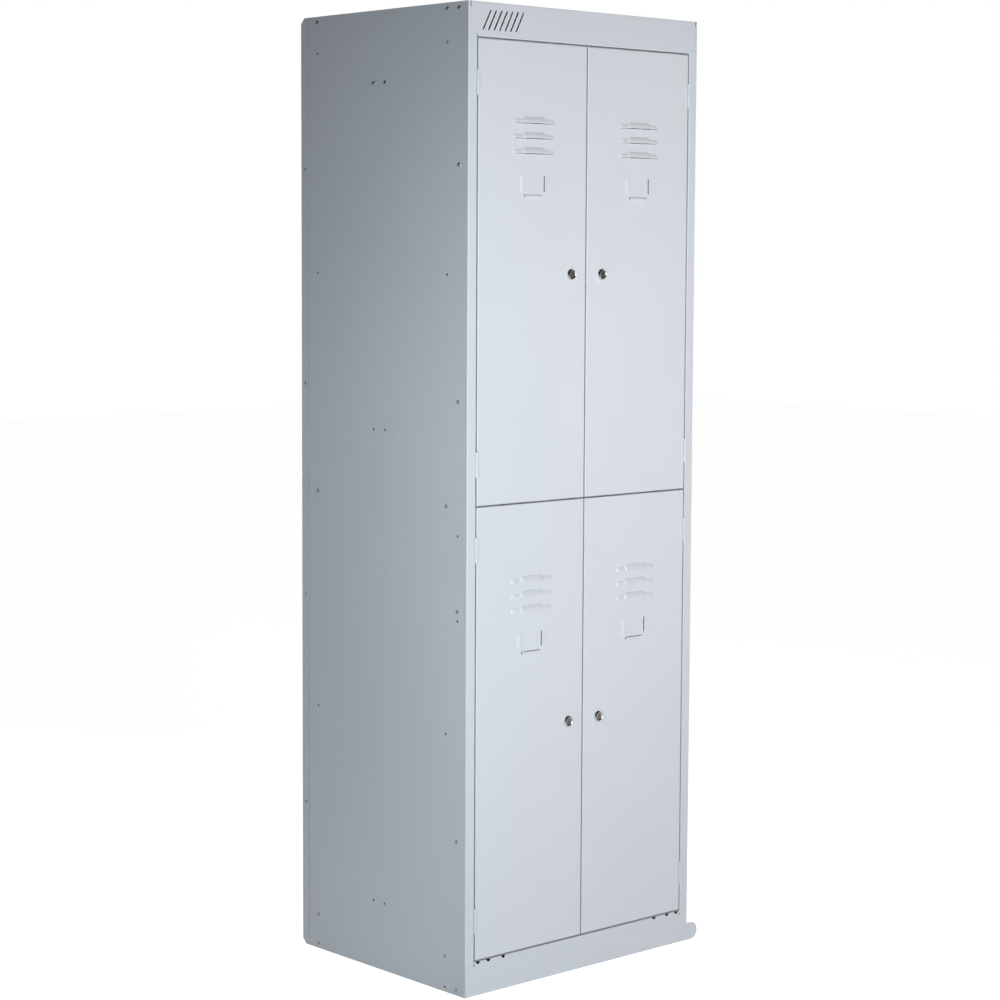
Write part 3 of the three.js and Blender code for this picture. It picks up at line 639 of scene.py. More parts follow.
def rivet_tree(shape):
    """Copies of one rivet, one on each point, scaled from its own radius to the one given."""
    tree, given, output = new_tree("set_rivets", {"Radius": RIVET_HEAD})
    model = tree.nodes.new("GeometryNodeObjectInfo")
    model.inputs["Object"].default_value = shape
    share = tree.nodes.new("ShaderNodeMath")
    share.operation = "DIVIDE"
    share.inputs[1].default_value = RIVET_HEAD
    tree.links.new(given.outputs["Radius"], share.inputs[0])
    size = tree.nodes.new("ShaderNodeCombineXYZ")
    size.inputs["X"].default_value = 1
    tree.links.new(share.outputs["Value"], size.inputs["Y"])
    tree.links.new(share.outputs["Value"], size.inputs["Z"])
    copies = tree.nodes.new("GeometryNodeInstanceOnPoints")
    tree.links.new(given.outputs["Geometry"], copies.inputs["Points"])
    tree.links.new(model.outputs["Geometry"], copies.inputs["Instance"])
    tree.links.new(size.outputs["Vector"], copies.inputs["Scale"])
    finish_tree(tree, copies.outputs["Instances"], output, RIVET_METAL)
    return tree


def vent_tree():
    """Row of slanting round-ended slots, as cutters that lie in the X and Z plane."""
    sizes = {"Count": 7, "Pitch": 0.0135, "Width": 0.003, "Length": 0.042, "Lean": 0.48, "Depth": 0.006}
    tree, given, output = new_tree("vent_slots", sizes)
    nodes, links = tree.nodes, tree.links

    def combined(**parts):
        node = nodes.new("ShaderNodeCombineXYZ")
        for axis, socket in parts.items():
            links.new(socket, node.inputs[axis])
        return node.outputs["Vector"]

    def maths(operation, first, second):
        node = nodes.new("ShaderNodeMath")
        node.operation = operation
        for value, socket in zip((first, second), node.inputs):
            if isinstance(value, (int, float)):
                socket.default_value = value
            else:
                links.new(value, socket)
        return node.outputs["Value"]

    radius = maths("DIVIDE", given.outputs["Width"], 2)
    reach = maths("DIVIDE", maths("SUBTRACT", given.outputs["Length"], given.outputs["Width"]), 2)
    both = nodes.new("GeometryNodeJoinGeometry")
    for sign in (1, -1):
        end = nodes.new("GeometryNodeMeshCylinder")
        end.inputs["Vertices"].default_value = 24
        links.new(radius, end.inputs["Radius"])
        links.new(given.outputs["Depth"], end.inputs["Depth"])
        move = nodes.new("GeometryNodeTransform")
        links.new(combined(Y=maths("MULTIPLY", reach, sign)), move.inputs["Translation"])
        links.new(end.outputs["Mesh"], move.inputs["Geometry"])
        links.new(move.outputs["Geometry"], both.inputs["Geometry"])
    slot = nodes.new("GeometryNodeConvexHull")
    links.new(both.outputs["Geometry"], slot.inputs["Geometry"])
    lean = nodes.new("GeometryNodeTransform")
    links.new(slot.outputs["Convex Hull"], lean.inputs["Geometry"])
    links.new(combined(Z=maths("MULTIPLY", given.outputs["Lean"], -1)), lean.inputs["Rotation"])
    stand = nodes.new("GeometryNodeTransform")
    stand.inputs["Rotation"].default_value = (math.pi / 2, 0, 0)
    links.new(lean.outputs["Geometry"], stand.inputs["Geometry"])
    row = nodes.new("GeometryNodeMeshLine")
    links.new(given.outputs["Count"], row.inputs["Count"])
    links.new(combined(X=given.outputs["Pitch"]), row.inputs["Offset"])
    copies = nodes.new("GeometryNodeInstanceOnPoints")
    links.new(row.outputs["Mesh"], copies.inputs["Points"])
    links.new(stand.outputs["Geometry"], copies.inputs["Instance"])
    finish_tree(tree, copies.outputs["Instances"], output, PAINT)
    return tree


PUNCHES = punch_tree()
VENTS = vent_tree()


# ------------------------------------------------------------------ fixings of the side panels
FLANGE_RIVET_DROP = 11.5 * MM
FIXING_ROWS = (FRONT + 59 * MM, FRONT + 447 * MM)
FRONT_ROW = FRONT + 26 * MM
RAIL_Y = 6 * MM
RAIL_SCREW = 17 * MM
RAIL_PAIR = (RAIL_Y - RAIL_SCREW, RAIL_Y + RAIL_SCREW)
RAIL_Z = {level: middle_of(f"coat_rail_{level}_right").z for level in LEVELS}
FOOT_RISE = 9.5 * MM
TOP_HOLE_DROP = 5 * MM
STRIP_ROW = BACK - 14 * MM
# Heights above (or below) the rivets of the middle shelf.
STILE_HOLES = (-53.2 * MM, -212.5 * MM)
STILE_RIVETS = (195.5 * MM, 630.5 * MM)
STRIP_RISES = (631, 211, -211, -631)
WELD_RISES = (648.5, 376.6, 217.4, -483.6, -642.5)
SPARE_RAIL_RISE = {"upper": 128.7 * MM, "lower": 64.8 * MM}  # above the foot of the doors
WELD_MARK = {"Radius": 1.5 * MM, "Length": 0.5 * MM}


def fixing_points():
    """Rivets, open holes, rivets of the back's folds and weld marks, in y and z."""
    shelf = SHELF - FLANGE_RIVET_DROP
    rivets = [(FRONT_ROW, TOP - FLANGE_RIVET_DROP), (FRONT_ROW, FOOT_RISE)]
    holes = [(FRONT_ROW, shelf + rise) for rise in STILE_HOLES]
    for y in FIXING_ROWS:
        rivets += [(y, surface - FLANGE_RIVET_DROP) for surface in (TOP, SHELF, FLOOR)]
        holes += [(y, DOOR_TOP[level] - LOCK_DROP) for level in LEVELS]
        holes += [(y, DOOR_TOP["upper"] - TOP_HOLE_DROP), (y, FOOT_RISE)]
    for rise in STILE_RIVETS:
        rivets += [(FRONT_ROW, shelf + rise), (FRONT_ROW, shelf - rise)]
    for y in RAIL_PAIR:
        rivets.append((y, RAIL_Z["upper"]))
        holes.append((y, RAIL_Z["lower"]))
        holes += [(y, DOOR_BASE[level] + SPARE_RAIL_RISE[level]) for level in LEVELS]
    strip = [(STRIP_ROW, shelf + rise * MM) for rise in STRIP_RISES]
    marks = [(FRONT_ROW, shelf + rise * MM) for rise in WELD_RISES]
    return rivets, holes, strip, marks


RIVET_PLACES, HOLE_PLACES, STRIP_PLACES, WELD_PLACES = fixing_points()
LAP_SPANS = [(FLOOR + LAP, SHELF - FLANGE - LAP), (SHELF + LAP, TOP - 2 * FLANGE)]


def side_fixings(name, places, tree, sizes):
    points = [(HALF_WIDTH, y, z) for y, z in places]
    return run_tree(tree, name, points, sizes)


# ------------------------------------------------------------------ cabinet panels
STILE_FOOT = PLINTH - 6.5 * MM
PLINTH_NOTCH = PLINTH - 6.8 * MM
STILE_HEAD = OPENING_TOP + 4.3 * MM
HEADER_NOTCH = OPENING_TOP + 4.6 * MM
STILE_TOP_SIDE = HALF_WIDTH - 4.5 * MM
HEADER_END = HALF_WIDTH - 4.8 * MM
RELIEF_INSET = 1 * MM  # relief holes at the plinth's corner notches
RELIEF_RADIUS = 1.5 * MM
DRAIN_INSETS = (32, 58.5, 96)
DRAIN_RADIUS = 5 * MM
VENT_START = 44.5 * MM
VENT_RISE = 31.2 * MM  # middle of the slots above the opening
VENT_LEAN = math.atan2(21, 40)


def make_side_panel():
    """Wall, stile and lap in one fold, for the right side."""
    seam = BACK - BACK_STRIP - BACK_SEAM
    half = SHEET / 2
    path = [
        (STILE_EDGE + half, FRONT + DOOR_DEPTH),
        (STILE_EDGE + half, FRONT + half),
        (HALF_WIDTH - half, FRONT + half),
        (HALF_WIDTH - half, seam - half),
        (INNER - half, seam - half),
        (INNER - half, seam + LAP),
    ]
    panel = folded("side_panel", "z", path, SHEET, (0.1 * MM, TOP))
    ahead = (FRONT - SPARE, FRONT + DOOR_DEPTH + SPARE)
    lap = (seam - 3 * MM, seam + LAP + SPARE)
    clear = (INNER - 2 * MM, HALF_WIDTH - SHEET - 0.1 * MM)
    cuts = [
        ((STILE_EDGE - SPARE, clear[1]), ahead, (-SPARE, STILE_FOOT)),
        ((STILE_EDGE - SPARE, STILE_TOP_SIDE), ahead, (STILE_HEAD, TOP + SPARE)),
        (clear, lap, (-SPARE, LAP_SPANS[0][0])),
        (clear, lap, (LAP_SPANS[0][1], LAP_SPANS[1][0])),
        (clear, lap, (LAP_SPANS[1][1], TOP + SPARE)),
    ]
    notch = BARREL + KNUCKLE_CLEAR
    half_hinge = HINGE_LENGTH / 2 + KNUCKLE_CLEAR
    for level in LEVELS:
        for z in HINGE_Z[level]:
            ends = (z - half_hinge, z + half_hinge)
            cuts.append(((PIN_X, PIN_X + notch), (FRONT - SPARE, FRONT + notch), ends))
    combine(panel, boxes("cuts", cuts))
    combine(panel, side_fixings("punches", HOLE_PLACES, PUNCHES, {"Radius": OPEN_HOLE}))
    combine(panel, side_fixings("marks", WELD_PLACES, PUNCHES, WELD_MARK))
    foot_path = [
        (HALF_WIDTH - FLANGE, SHEET / 2),
        (HALF_WIDTH - SHEET / 2 - 0.05 * MM, SHEET / 2),
        (HALF_WIDTH - SHEET / 2 - 0.05 * MM, 3 * MM),
    ]
    foot = folded("foot", "y", foot_path, SHEET, (STOP + 2 * MM, seam - 2 * MM), 0.5 * MM)
    return combine(panel, foot, "UNION")


def add_side_panels():
    pattern = make_side_panel()
    for column, side in SIDES.items():
        panel = placed(pattern, f"{column}_side", side)
        if side > 0:
            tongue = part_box("plinth_tongue")
            low, high = CENTRE_X + HALF_WIDTH - 2 * MM, CENTRE_X + HALF_WIDTH + SPARE
            slot = [((low, high), (FRONT - SPARE, tongue[1].y + 2 * FIT), (-SPARE, tongue[1].z + FIT))]
            combine(panel, boxes("slot", slot))
        show(crisp(panel), "carcass", PAINT, "cabinet_paint", f"{column}_side_panel")
    drop(pattern)


def add_back():
    half = SHEET / 2
    edge = HALF_WIDTH - half
    near = BACK - BACK_STRIP
    path = [(edge, near), (edge, BACK - half), (-edge, BACK - half), (-edge, near)]
    panel = folded("back", "z", path, SHEET, (0, TOP))
    bm = bmesh.new()
    for z, up in ((TOP, 1), (0, -1)):
        spare = 5 * MM
        corners = [
            (BACK - CORNER_CUT - spare, z + up * spare),
            (BACK + spare, z - up * (CORNER_CUT + spare)),
            (BACK + spare, z + up * spare),
        ]
        rows = [[bm.verts.new((x, *corner)) for corner in corners] for x in (-0.4, 0.4)]
        for i in range(3):
            j = (i + 1) % 3
            bm.faces.new((rows[0][i], rows[0][j], rows[1][j], rows[1][i]))
        for row in rows:
            bm.faces.new(row)
    bmesh.ops.recalc_face_normals(bm, faces=bm.faces)
    combine(panel, to_object(bm, "corner_cuts"))
    back = placed(panel, "back")
    drop(panel)
    show(crisp(back), "carcass", PAINT, "cabinet_paint", "back_panel")


def panel_ends(front_cuts):
    """Boxes that shorten a panel's front fold at both ends."""
    return [
        ((side * inner, side * outer), ys, zs)
        for side in (-1, 1)
        for inner, outer, ys, zs in front_cuts
    ]


def side_folds(surface, ys):
    """Folds down both sides of a panel that lies between the side panels."""
    parts = []
    for side in (-1, 1):
        x = side * (INNER - 0.1 * MM - SHEET / 2)
        level = surface - SHEET / 2
        path = [(x - side * 6 * MM, level), (x, level), (x, surface - FLANGE)]
        parts.append(folded("side_fold", "y", path, SHEET, ys))
    return parts


def add_roof():
    half = SHEET / 2
    path = [
        (STOP + half, OPENING_TOP - STOP_HEIGHT),
        (STOP + half, OPENING_TOP + half),
        (FRONT + half, OPENING_TOP + half),
        (FRONT + half, TOP - half),
        (BACK - CORNER_CUT, TOP - half),
        (BACK_INNER - half, TOP - CORNER_CUT),
        (BACK_INNER - half, TOP - CORNER_CUT - LAP),
    ]
    panel = folded("roof", "x", path, SHEET, (-INNER, INNER))
    beyond = INNER + SPARE
    low = OPENING_TOP - STOP_HEIGHT - SPARE
    front = (FRONT - SPARE, STOP + 2 * SHEET)
    skin = (FRONT - SPARE, FRONT + 2.2 * MM)
    cuts = [
        (STILE_EDGE - FIT, beyond, front, (low, HEADER_NOTCH)),
        (HEADER_END, beyond, skin, (OPENING_TOP + 4 * MM, TOP + SPARE)),
        (HEADER_END - 1.5 * MM, beyond, (FRONT - SPARE, FRONT + 1.6 * MM), (TOP - 10 * MM, TOP + SPARE)),
    ]
    for cut in cuts:
        combine(panel, boxes("cuts", panel_ends([cut])))
    slots = run_tree(VENTS, "slots", [(0, 0, 0)], {"Lean": VENT_LEAN})
    first = (VENT_START - HALF_WIDTH, FRONT, OPENING_TOP + VENT_RISE)
    slots.data.transform(Matrix.Translation(first))
    combine(panel, slots)
    for fold in side_folds(TOP, (STOP + 4 * MM, BACK - CORNER_CUT - 4 * MM)):
        combine(panel, fold, "UNION")
    roof = placed(panel, "roof")
    drop(panel)
    show(crisp(roof), "carcass", PAINT, "cabinet_paint", "roof_panel")


def add_base():
    half = SHEET / 2
    path = [
        (BACK_INNER - half, FLOOR - FLANGE),
        (BACK_INNER - half, FLOOR - half),
        (STOP + half, FLOOR - half),
        (STOP + half, PLINTH - half),
        (FRONT + half, PLINTH - half),
        (FRONT + half, half),
        (STOP, half),
    ]
    panel = folded("base", "x", path, SHEET, (-INNER, INNER))
    middle = STILE_EDGE - FIT
    corner = PLINTH_NOTCH
    front = (FRONT - SPARE, STOP + 2 * SHEET)
    combine(panel, boxes("cuts", panel_ends([(middle, INNER + SPARE, front, (corner, FLOOR + SPARE))])))
    holes = [(side * (middle - RELIEF_INSET), corner, RELIEF_RADIUS, 0) for side in (-1, 1)]
    for inset in DRAIN_INSETS:
        for side in (-1, 1):
            for upright in (0, 1):
                holes.append((side * (HALF_WIDTH - inset * MM), PLINTH, DRAIN_RADIUS, upright))
    for upright in (0, 1):
        bm = bmesh.new()
        for x, z, radius, way in holes:
            if way != upright:
                continue
            turn = Matrix.Rotation(math.pi / 2, 4, "X") if way == 0 else Matrix.Identity(4)
            bmesh.ops.create_cone(
                bm,
                cap_ends=True,
                segments=24,
                radius1=radius,
                radius2=radius,
                depth=4 * MM,
                matrix=Matrix.Translation((x, FRONT, z)) @ turn,
            )
        combine(panel, to_object(bm, "drain_cutters"))
    for fold in side_folds(FLOOR, (STOP + 4 * MM, BACK - CORNER_CUT - 4 * MM)):
        combine(panel, fold, "UNION")
    base = placed(panel, "base")
    drop(panel)
    show(crisp(base), "carcass", PAINT, "cabinet_paint", "floor_panel")


def make_rivet():
    """Blind rivet lying along X: low dome, its hole and the broken end of the mandrel inside."""
    dome = [(4.0, -0.3), (4.0, 0.1), (3.92, 0.32), (3.5, 0.68), (2.9, 0.95), (2.2, 1.13), (1.55, 1.2)]
    bore = [(1.32, 1.14), (1.2, 1.0), (1.2, 0.35), (0.95, 0.25), (0.8, 0.45), (0, 0.5), (0, -0.3)]
    outline = [(radius * MM, -rise * MM) for radius, rise in dome + bore]
    rivet = lathe("rivet", outline, Vector((0, 0, 0)), 32)
    rivet.data.transform(Matrix.Rotation(math.pi / 2, 4, "Z"))
    return rivet


def add_rivets():
    """Every set rivet of the two sides and the back's folds, as one piece."""
    shape = make_rivet()
    tree = rivet_tree(shape)
    patterns = [
        side_fixings("rivets", RIVET_PLACES, tree, {"Radius": RIVET_HEAD}),
        side_fixings("rivets", STRIP_PLACES, tree, {"Radius": 0.8 * RIVET_HEAD}),
    ]
    sets = [placed(pattern, "set", side) for pattern in patterns for side in (-1, 1)]
    piece = merge("panel_rivets", sets)
    for thing in (*patterns, shape):
        drop(thing)
    show(crisp(piece, 40), "carcass", RIVET_METAL, "zinc_plate")


# ------------------------------------------------------------------ doors
LOUVRE_DROP = 149.5 * MM
LOUVRE_PITCH = 28 * MM
LOUVRES = 3
HOOD = (65 * MM, 12.5 * MM, 4.4 * MM)  # width, height and how far it stands out
WING = (105 * MM, 8.5 * MM, 2.4 * MM)
HOOD_RAMP = 8 * MM  # length of the sloping ends
WING_RAMP = 6 * MM
SHOULDER = 0.35  # height of a hood at its very end, against its middle
LOUVRE_COLUMNS = 26  # grid lines on each side of a louvre's middle
LOUVRE_ROWS = 12
HOOD_LIFT = 0.22  # how much higher the free edge gets for each millimetre that it stands out
LIP_OUT = 2.2 * MM
LIP_PULL = 0.8 * MM  # how far its free edge draws back from the slit
LIP_WIDTH = 7 * MM
LIP_RAMP = 3 * MM
LIP_STEPS = 6
CARD_HALF = 26.5 * MM
CARD_SIDE = (246 * MM, 274.5 * MM)  # below the door's top
CARD_FOOT = (281.5 * MM, 288.5 * MM)
CARD_FOOT_HALF = 23.5 * MM
GRID_STEP = 0.05 * MM
LEEWAY = 0.001 * MM
REAR_LIP = 10 * MM
DOOR_ARC = [math.pi / 2 * k / FOLD_STEPS for k in range(1, FOLD_STEPS + 1)]
LOCK_HOLE = 9.8 * MM
TAB_SHEET = 0.9 * MM
TAB_REACH = 16 * MM
TAB_REAR = BARREL - 0.55 * MM


def ease(value):
    value = min(max(value, 0.0), 1.0)
    return value * value * (3 - 2 * value)


def hood_height(across, rise, size, ramp):
    """How far a pressed hood stands out, from its slit up to its root, with sloping ends."""
    width, height, reach = size
    end = (width / 2 - abs(across)) / ramp
    root = height * (SHOULDER + (1 - SHOULDER) * min(max(end, 0), 1))
    if end <= 0 or not 0 <= rise < root:
        return 0.0
    return reach * ease(end) * (1 - (rise / root) ** 2)


class Louvre:
    """Hood with two lower wings, open along its foot, whose edge is drawn up as it is pressed."""

    def __init__(self, x, z):
        self.x, self.z = x, z
        half = WING[0] / 2
        self.span = (x - half, x + half, z, z + HOOD[1])

    def lines(self):
        columns = range(-LOUVRE_COLUMNS, LOUVRE_COLUMNS + 1)
        xs = [self.x + WING[0] / 2 * k / LOUVRE_COLUMNS for k in columns]
        zs = [self.z + HOOD[1] * k / LOUVRE_ROWS for k in range(LOUVRE_ROWS + 1)]
        return xs, zs

    def shift(self, x, z):
        across, rise = x - self.x, z - self.z
        hood = hood_height(across, rise, HOOD, HOOD_RAMP)
        wing = hood_height(across, rise, WING, WING_RAMP)
        out = max(hood, wing)
        return 0.0, out, out * HOOD_LIFT * (1 - rise / HOOD[1])


class Lip:
    """Tab pressed out of the face, cut free on three sides and held along the fourth."""

    def __init__(self, span, held):
        self.span = span
        self.axis, self.at = held  # 0 for x or 1 for z, and where the tab joins the face

    def lines(self):
        x0, x1, z0, z1 = self.span
        xs, zs = [x0, x1], [z0, z1]
        along = (xs, zs)[self.axis]
        far = x0 + x1 - self.at if self.axis == 0 else z0 + z1 - self.at
        along.extend(self.at + (far - self.at) * k / LIP_STEPS for k in range(1, LIP_STEPS))
        return xs, zs

    def shift(self, x, z):
        away = (x, z)[self.axis] - self.at
        share = ease(abs(away) / LIP_RAMP)
        pull = -math.copysign(LIP_PULL * abs(away) / LIP_WIDTH, away)
        return (pull, LIP_OUT * share, 0.0) if self.axis == 0 else (0.0, LIP_OUT * share, pull)


def door_features():
    """Louvres and card lips of one door, with z counted from its top."""
    x = (DOOR_NEAR + DOOR_EDGE) / 2
    found = [Louvre(x, -LOUVRE_DROP - k * LOUVRE_PITCH) for k in range(LOUVRES)]
    near, far = x - CARD_HALF, x + CARD_HALF
    for inner, outer in ((near, near - LIP_WIDTH), (far, far + LIP_WIDTH)):
        span = (min(inner, outer), max(inner, outer), -CARD_SIDE[1], -CARD_SIDE[0])
        found.append(Lip(span, (0, outer)))
    foot = (x - CARD_FOOT_HALF, x + CARD_FOOT_HALF, -CARD_FOOT[1], -CARD_FOOT[0])
    found.append(Lip(foot, (1, -CARD_FOOT[1])))
    return found


def sorted_lines(values, low, high):
    """Grid lines between two limits, no two closer than the finest step."""
    kept = []
    for value in sorted(values):
        inside = low - LEEWAY <= value <= high + LEEWAY
        if inside and (not kept or value - kept[-1] > GRID_STEP):
            kept.append(value)
    return kept


def door_grid(features):
    """Grid lines of the flat face, doubled beside its edges and every pressed feature."""
    low_x, high_x = DOOR_NEAR + DOOR_BEND, DOOR_EDGE - DOOR_BEND
    low_z, high_z = DOOR_BEND - DOOR_HEIGHT, -DOOR_BEND
    xs = [low_x, low_x + SUPPORT, high_x - SUPPORT, high_x]
    zs = [low_z, low_z + SUPPORT, high_z - SUPPORT, high_z]
    for feature in features:
        more_x, more_z = feature.lines()
        x0, x1, z0, z1 = feature.span
        xs += [*more_x, x0 - SUPPORT, x1 + SUPPORT]
        zs += [*more_z, z0 - SUPPORT, z1 + SUPPORT]
    return sorted_lines(xs, low_x, high_x), sorted_lines(zs, low_z, high_z)


def door_face(bm, xs, zs, features):
    """Flat face with its pressed features, and the points of its rim in order."""
    verts = {}

    def corner(i, j, feature):
        dx, out, dz = feature.shift(xs[i], zs[j]) if feature else (0.0, 0.0, 0.0)
        key = (i, j, round(out / (0.01 * MM)))
        if key not in verts:
            verts[key] = bm.verts.new((xs[i] + dx, FRONT - out, zs[j] + dz))
        return verts[key]

    for i in range(len(xs) - 1):
        for j in range(len(zs) - 1):
            x, z = (xs[i] + xs[i + 1]) / 2, (zs[j] + zs[j + 1]) / 2
            inside = [f for f in features if f.span[0] < x < f.span[1] and f.span[2] < z < f.span[3]]
            feature = inside[0] if inside else None
            ring = [corner(i, j, feature), corner(i + 1, j, feature)]
            ring += [corner(i + 1, j + 1, feature), corner(i, j + 1, feature)]
            bm.faces.new(ring)

    last_i, last_j = len(xs) - 1, len(zs) - 1
    rim = [(i, 0) for i in range(last_i)] + [(last_i, j) for j in range(last_j)]
    rim += [(i, last_j) for i in range(last_i, 0, -1)] + [(0, j) for j in range(last_j, 0, -1)]
    return rim, [verts[(i, j, 0)] for i, j in rim]


def door_returns(bm, xs, zs, rim, before):
    """Round folds and returns behind the face's rim, down to the start of the rear folds."""
    last_i, last_j = len(xs) - 1, len(zs) - 1
    rings = [(DOOR_BEND * math.sin(a), DOOR_BEND * (1 - math.cos(a))) for a in DOOR_ARC]
    rings += [(DOOR_BEND, DOOR_BEND + SUPPORT), (DOOR_BEND, DOOR_DEPTH - DOOR_BEND - SUPPORT)]
    rings += [(DOOR_BEND, DOOR_DEPTH - DOOR_BEND)]

    def pushed(i, j, out, depth):
        dx = -out if i == 0 else out if i == last_i else 0
        dz = -out if j == 0 else out if j == last_j else 0
        return bm.verts.new((xs[i] + dx, FRONT + depth, zs[j] + dz))

    count = len(rim)
    for out, depth in rings:
        ring = [pushed(i, j, out, depth) for i, j in rim]
        for k in range(count):
            n = (k + 1) % count
            bm.faces.new((before[k], before[n], ring[n], ring[k]))
        before = ring
    return before


def door_rear_lips(bm, xs, rim, before):
    """Rear folds along the two upright edges, with a narrow lip behind each."""
    last_i = len(xs) - 1
    rings = [
        (DOOR_BEND * math.cos(a), DOOR_DEPTH - DOOR_BEND * (1 - math.sin(a))) for a in DOOR_ARC
    ]
    rings += [(DOOR_BEND - REAR_LIP, DOOR_DEPTH)]
    for edge in (0, last_i):
        strip = [k for k in range(len(rim)) if rim[k][0] == edge]
        strip.sort(key=lambda k: rim[k][1])
        line = [before[k] for k in strip]
        for out, depth in rings:
            shift = -out if edge == 0 else out
            fresh = [bm.verts.new((xs[edge] + shift, FRONT + depth, vert.co.z)) for vert in line]
            for a, b, c, d in zip(line, line[1:], fresh[1:], fresh):
                bm.faces.new((a, b, c, d))
            line = fresh


def door_skin():
    """Face, round folds, returns and rear lips of a door, given the thickness of its sheet."""
    bm = bmesh.new()
    features = door_features()
    xs, zs = door_grid(features)
    rim, before = door_face(bm, xs, zs, features)
    before = door_returns(bm, xs, zs, rim, before)
    door_rear_lips(bm, xs, rim, before)
    bmesh.ops.recalc_face_normals(bm, faces=bm.faces)
    face = max(bm.faces, key=lambda f: f.calc_area())
    if face.normal.y > 0:
        bmesh.ops.reverse_faces(bm, faces=bm.faces)
    skin = to_object(bm, "door_skin")
    thick = skin.modifiers.new("thickness", "SOLIDIFY")
    thick.thickness = DOOR_SHEET
    thick.offset = -1
    thick.use_even_offset = True
    return apply_modifiers(skin)


def make_door():
    """Door of the right column with z counted from its top, hinges notched and lock hole cut."""
    door = door_skin()
    notch = BARREL + KNUCKLE_CLEAR
    half_hinge = HINGE_LENGTH / 2 + 0.2 * MM
    cuts = []
    for z in HINGE_Z["upper"]:
        z -= DOOR_TOP["upper"]
        ends = (z - half_hinge, z + half_hinge)
        cuts.append(((PIN_X - notch, PIN_X + SPARE), (FRONT - SPARE, FRONT + notch), ends))
    combine(door, boxes("notches", cuts))
    bm = bmesh.new()
    at = Matrix.Translation((LOCK_X, FRONT, -LOCK_DROP)) @ Matrix.Rotation(math.pi / 2, 4, "X")
    bmesh.ops.create_cone(
        bm,
        cap_ends=True,
        segments=48,
        radius1=LOCK_HOLE,
        radius2=LOCK_HOLE,
        depth=6 * MM,
        matrix=at,
    )
    combine(door, to_object(bm, "lock_hole"))
    return crisp(door, 28)


def door_knuckles(z):
    """Rolled outer knuckles of one hinge with the tabs that hold them to the door."""
    length = (HINGE_LENGTH - HINGE_MIDDLE) / 2 - FIT
    start = HINGE_MIDDLE / 2 + FIT
    parts = []
    tab = [(PIN_X - BORE - 0.2 * MM, FRONT + TAB_REAR), (PIN_X - TAB_REACH, FRONT + TAB_REAR)]
    for low in (z + start, z - start - length):
        parts.append(tube("knuckle", (PIN_X, FRONT), BARREL, BORE, (low, low + length)))
        parts.append(folded("tab", "z", tab, TAB_SHEET, (low + 0.2 * MM, low + length - 0.2 * MM)))
    return parts


def add_doors():
    pattern = make_door()
    for level, column in PLACES:
        side, place = SIDES[column], f"{level}_{column}"
        door = placed(pattern, f"{place}_door_skin", side, DOOR_TOP[level])
        show(door, f"{place}_door", DOOR_PAINT, "door_paint", f"door_{place}")
        parts = [part for z in HINGE_Z[level] for part in door_knuckles(z)]
        knuckles = merge("knuckles", parts)
        piece = placed(knuckles, f"{place}_door_knuckles", side)
        drop(knuckles)
        show(crisp(settle(piece)), f"{place}_door", DOOR_PAINT, "hinge_paint")
    drop(pattern)


# ------------------------------------------------------------------ hinges
LEAF_SHEET = 1.2 * MM
LEAF_DEPTH = 14 * MM
LEAF_INSET = 0.2 * MM
PIN_CHAMFER = 0.4 * MM


def frame_knuckle(z):
    """Middle knuckle of one hinge with the leaf that holds it to the stile."""
    low, high = z - HINGE_MIDDLE / 2, z + HINGE_MIDDLE / 2
    knuckle = tube("knuckle", (PIN_X, FRONT), BARREL, BORE, (low, high))
    x = STILE_EDGE - FIT - 0.6 * MM
    path = [(x, FRONT + BORE + 0.3 * MM), (x, FRONT + LEAF_DEPTH)]
    leaf = folded("leaf", "z", path, LEAF_SHEET, (low + LEAF_INSET, high - LEAF_INSET))
    return merge("frame_hinge", [knuckle, leaf])


def add_frame_hinges():
    for level, column in PLACES:
        side, place = SIDES[column], f"{level}_{column}"
        for z, end in zip(HINGE_Z[level], ("top", "base")):
            pattern = frame_knuckle(z)
            hinge = placed(pattern, f"{place}_frame_knuckle_{end}", side)
            drop(pattern)
            show(crisp(settle(hinge)), "carcass", PAINT, "hinge_paint", f"frame_hinge_{place}_{end}")
            ends = (z - HINGE_LENGTH / 2, z + HINGE_LENGTH / 2)
            pin = tube("pin", (PIN_X, FRONT), PIN, 0, ends, 24, PIN_CHAMFER)
            peg = placed(pin, f"{place}_pin_{end}", side)
            drop(pin)
            show(crisp(settle(peg)), "carcass", ZINC, "zinc_plate", f"hinge_pin_{place}_{end}")


# ------------------------------------------------------------------ locks
HEAD_PROUD = 5.5 * MM
HEAD_PROFILE = [  # radius, and depth behind the head's front
    (6.8, 1.3),
    (7.6, 1.1),
    (8.1, 0.15),
    (8.4, 0),
    (8.7, 0.05),
    (10.7, 2.1),
    (11.1, 2.7),
    (11.2, 3.2),
]
HEAD_RADIUS = 11.2 * MM
LOCK_BARREL = 9.4 * MM
LOCK_BORE = 6.8 * MM
PLUG_PROUD = 4.5 * MM
PLUG_RADIUS = 6.35 * MM
PLUG_FACE = 5.9 * MM
KEY_SLOT = (1.1 * MM, 4.3 * MM, 6 * MM)  # half width, half height and depth
SHAFT_HALF = 3.5 * MM


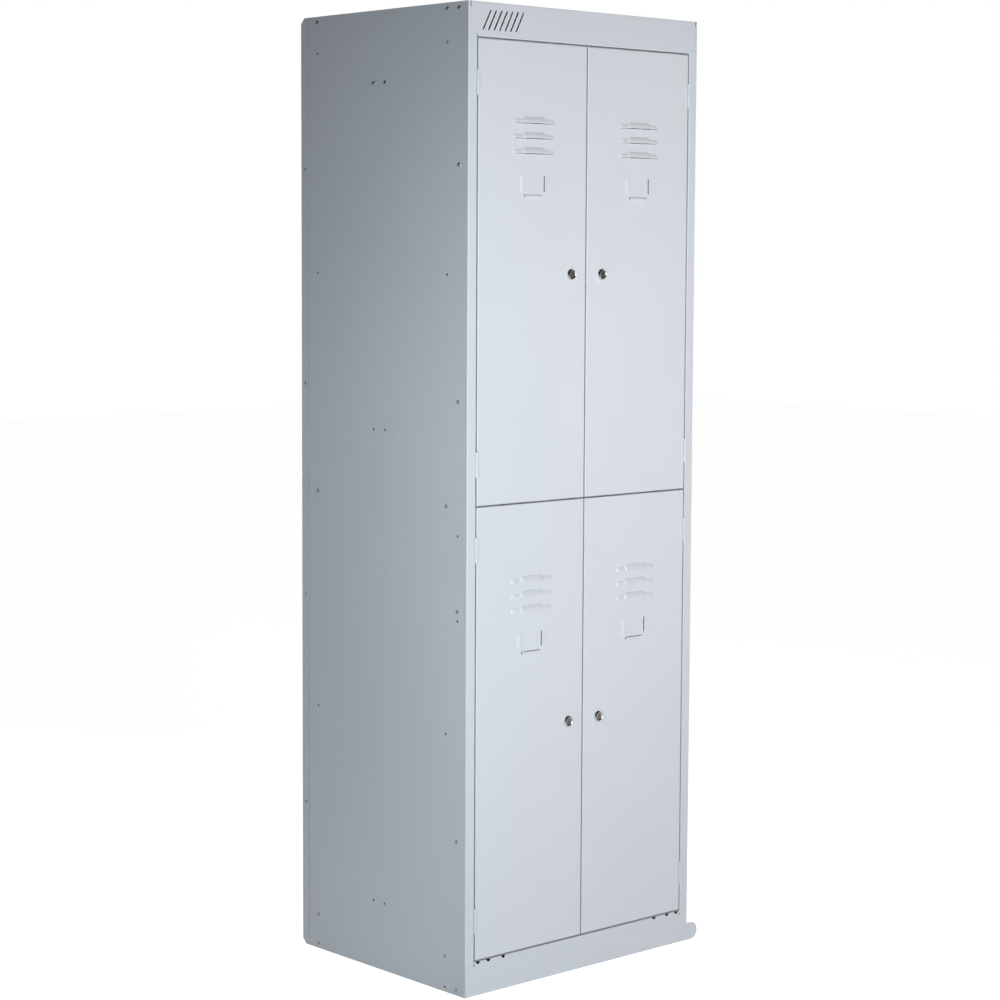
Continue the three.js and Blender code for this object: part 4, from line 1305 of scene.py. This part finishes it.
def housing_outline():
    """Bevelled head, then the barrel through the door."""
    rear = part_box("lock_housing_upper_right")[1].y
    front = FRONT - HEAD_PROUD
    seat = FRONT - 0.05 * MM
    outline = [(radius * MM, front + depth * MM) for radius, depth in HEAD_PROFILE]
    outline += [(HEAD_RADIUS, seat), (LOCK_BARREL, seat), (LOCK_BARREL, rear), (LOCK_BORE, rear)]
    return outline


def make_plug(place, centre):
    """Turned core with its key slot, and the square end that holds the cam."""
    front = FRONT - PLUG_PROUD
    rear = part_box(f"lock_housing_{place}")[1].y + 0.5 * MM
    outline = [(0, front), (PLUG_FACE, front), (PLUG_RADIUS, front + 0.4 * MM)]
    outline += [(PLUG_RADIUS, rear), (0, rear)]
    plug = lathe(f"{place}_lock_core", outline, centre, 48)
    wide, tall, deep = KEY_SLOT
    across, upright = (centre.x - wide, centre.x + wide), (centre.z - tall, centre.z + tall)
    combine(plug, boxes("key_slot", [(across, (front - SPARE, front + deep), upright)]))
    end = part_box(f"lock_plug_{place}")[1].y
    across = (centre.x - SHAFT_HALF, centre.x + SHAFT_HALF)
    upright = (centre.z - SHAFT_HALF, centre.z + SHAFT_HALF)
    return combine(plug, boxes("shaft", [(across, (rear - SPARE, end), upright)]), "UNION")


def add_locks():
    for level, column in PLACES:
        place = f"{level}_{column}"
        centre = middle_of(f"lock_plug_{place}")
        housing = lathe(f"{place}_lock_head", housing_outline(), centre)
        show(crisp(housing, 24), f"{place}_door", CHROME, "lock_chrome", f"lock_housing_{place}")
        plug = make_plug(place, centre)
        show(crisp(plug, 24), f"{place}_lock", NICKEL, "lock_nickel", f"lock_plug_{place}")


# ------------------------------------------------------------------ pieces kept from the frame
KEPT_FINISHES = {
    "coat_rail": ZINC,
    "lock_nut": ZINC,
    "lock_cam": ZINC,
    "cam_screw": ZINC,
    "mid_shelf": PAINT,
    "centre": PAINT,
    "plinth_tongue": PAINT,
    "door_stiffener": DOOR_PAINT,
}


def dress_frame_nodes():
    for name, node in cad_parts.items():
        for start, material in KEPT_FINISHES.items():
            if name.startswith(start):
                node.data.materials.clear()
                node.data.materials.append(material)


add_camera()
add_studio()
add_floor()
add_side_panels()
add_back()
add_roof()
add_base()
add_rivets()
add_doors()
add_frame_hinges()
add_locks()
dress_frame_nodes()

scene = bpy.context.scene
scene.view_settings.view_transform = "Standard"
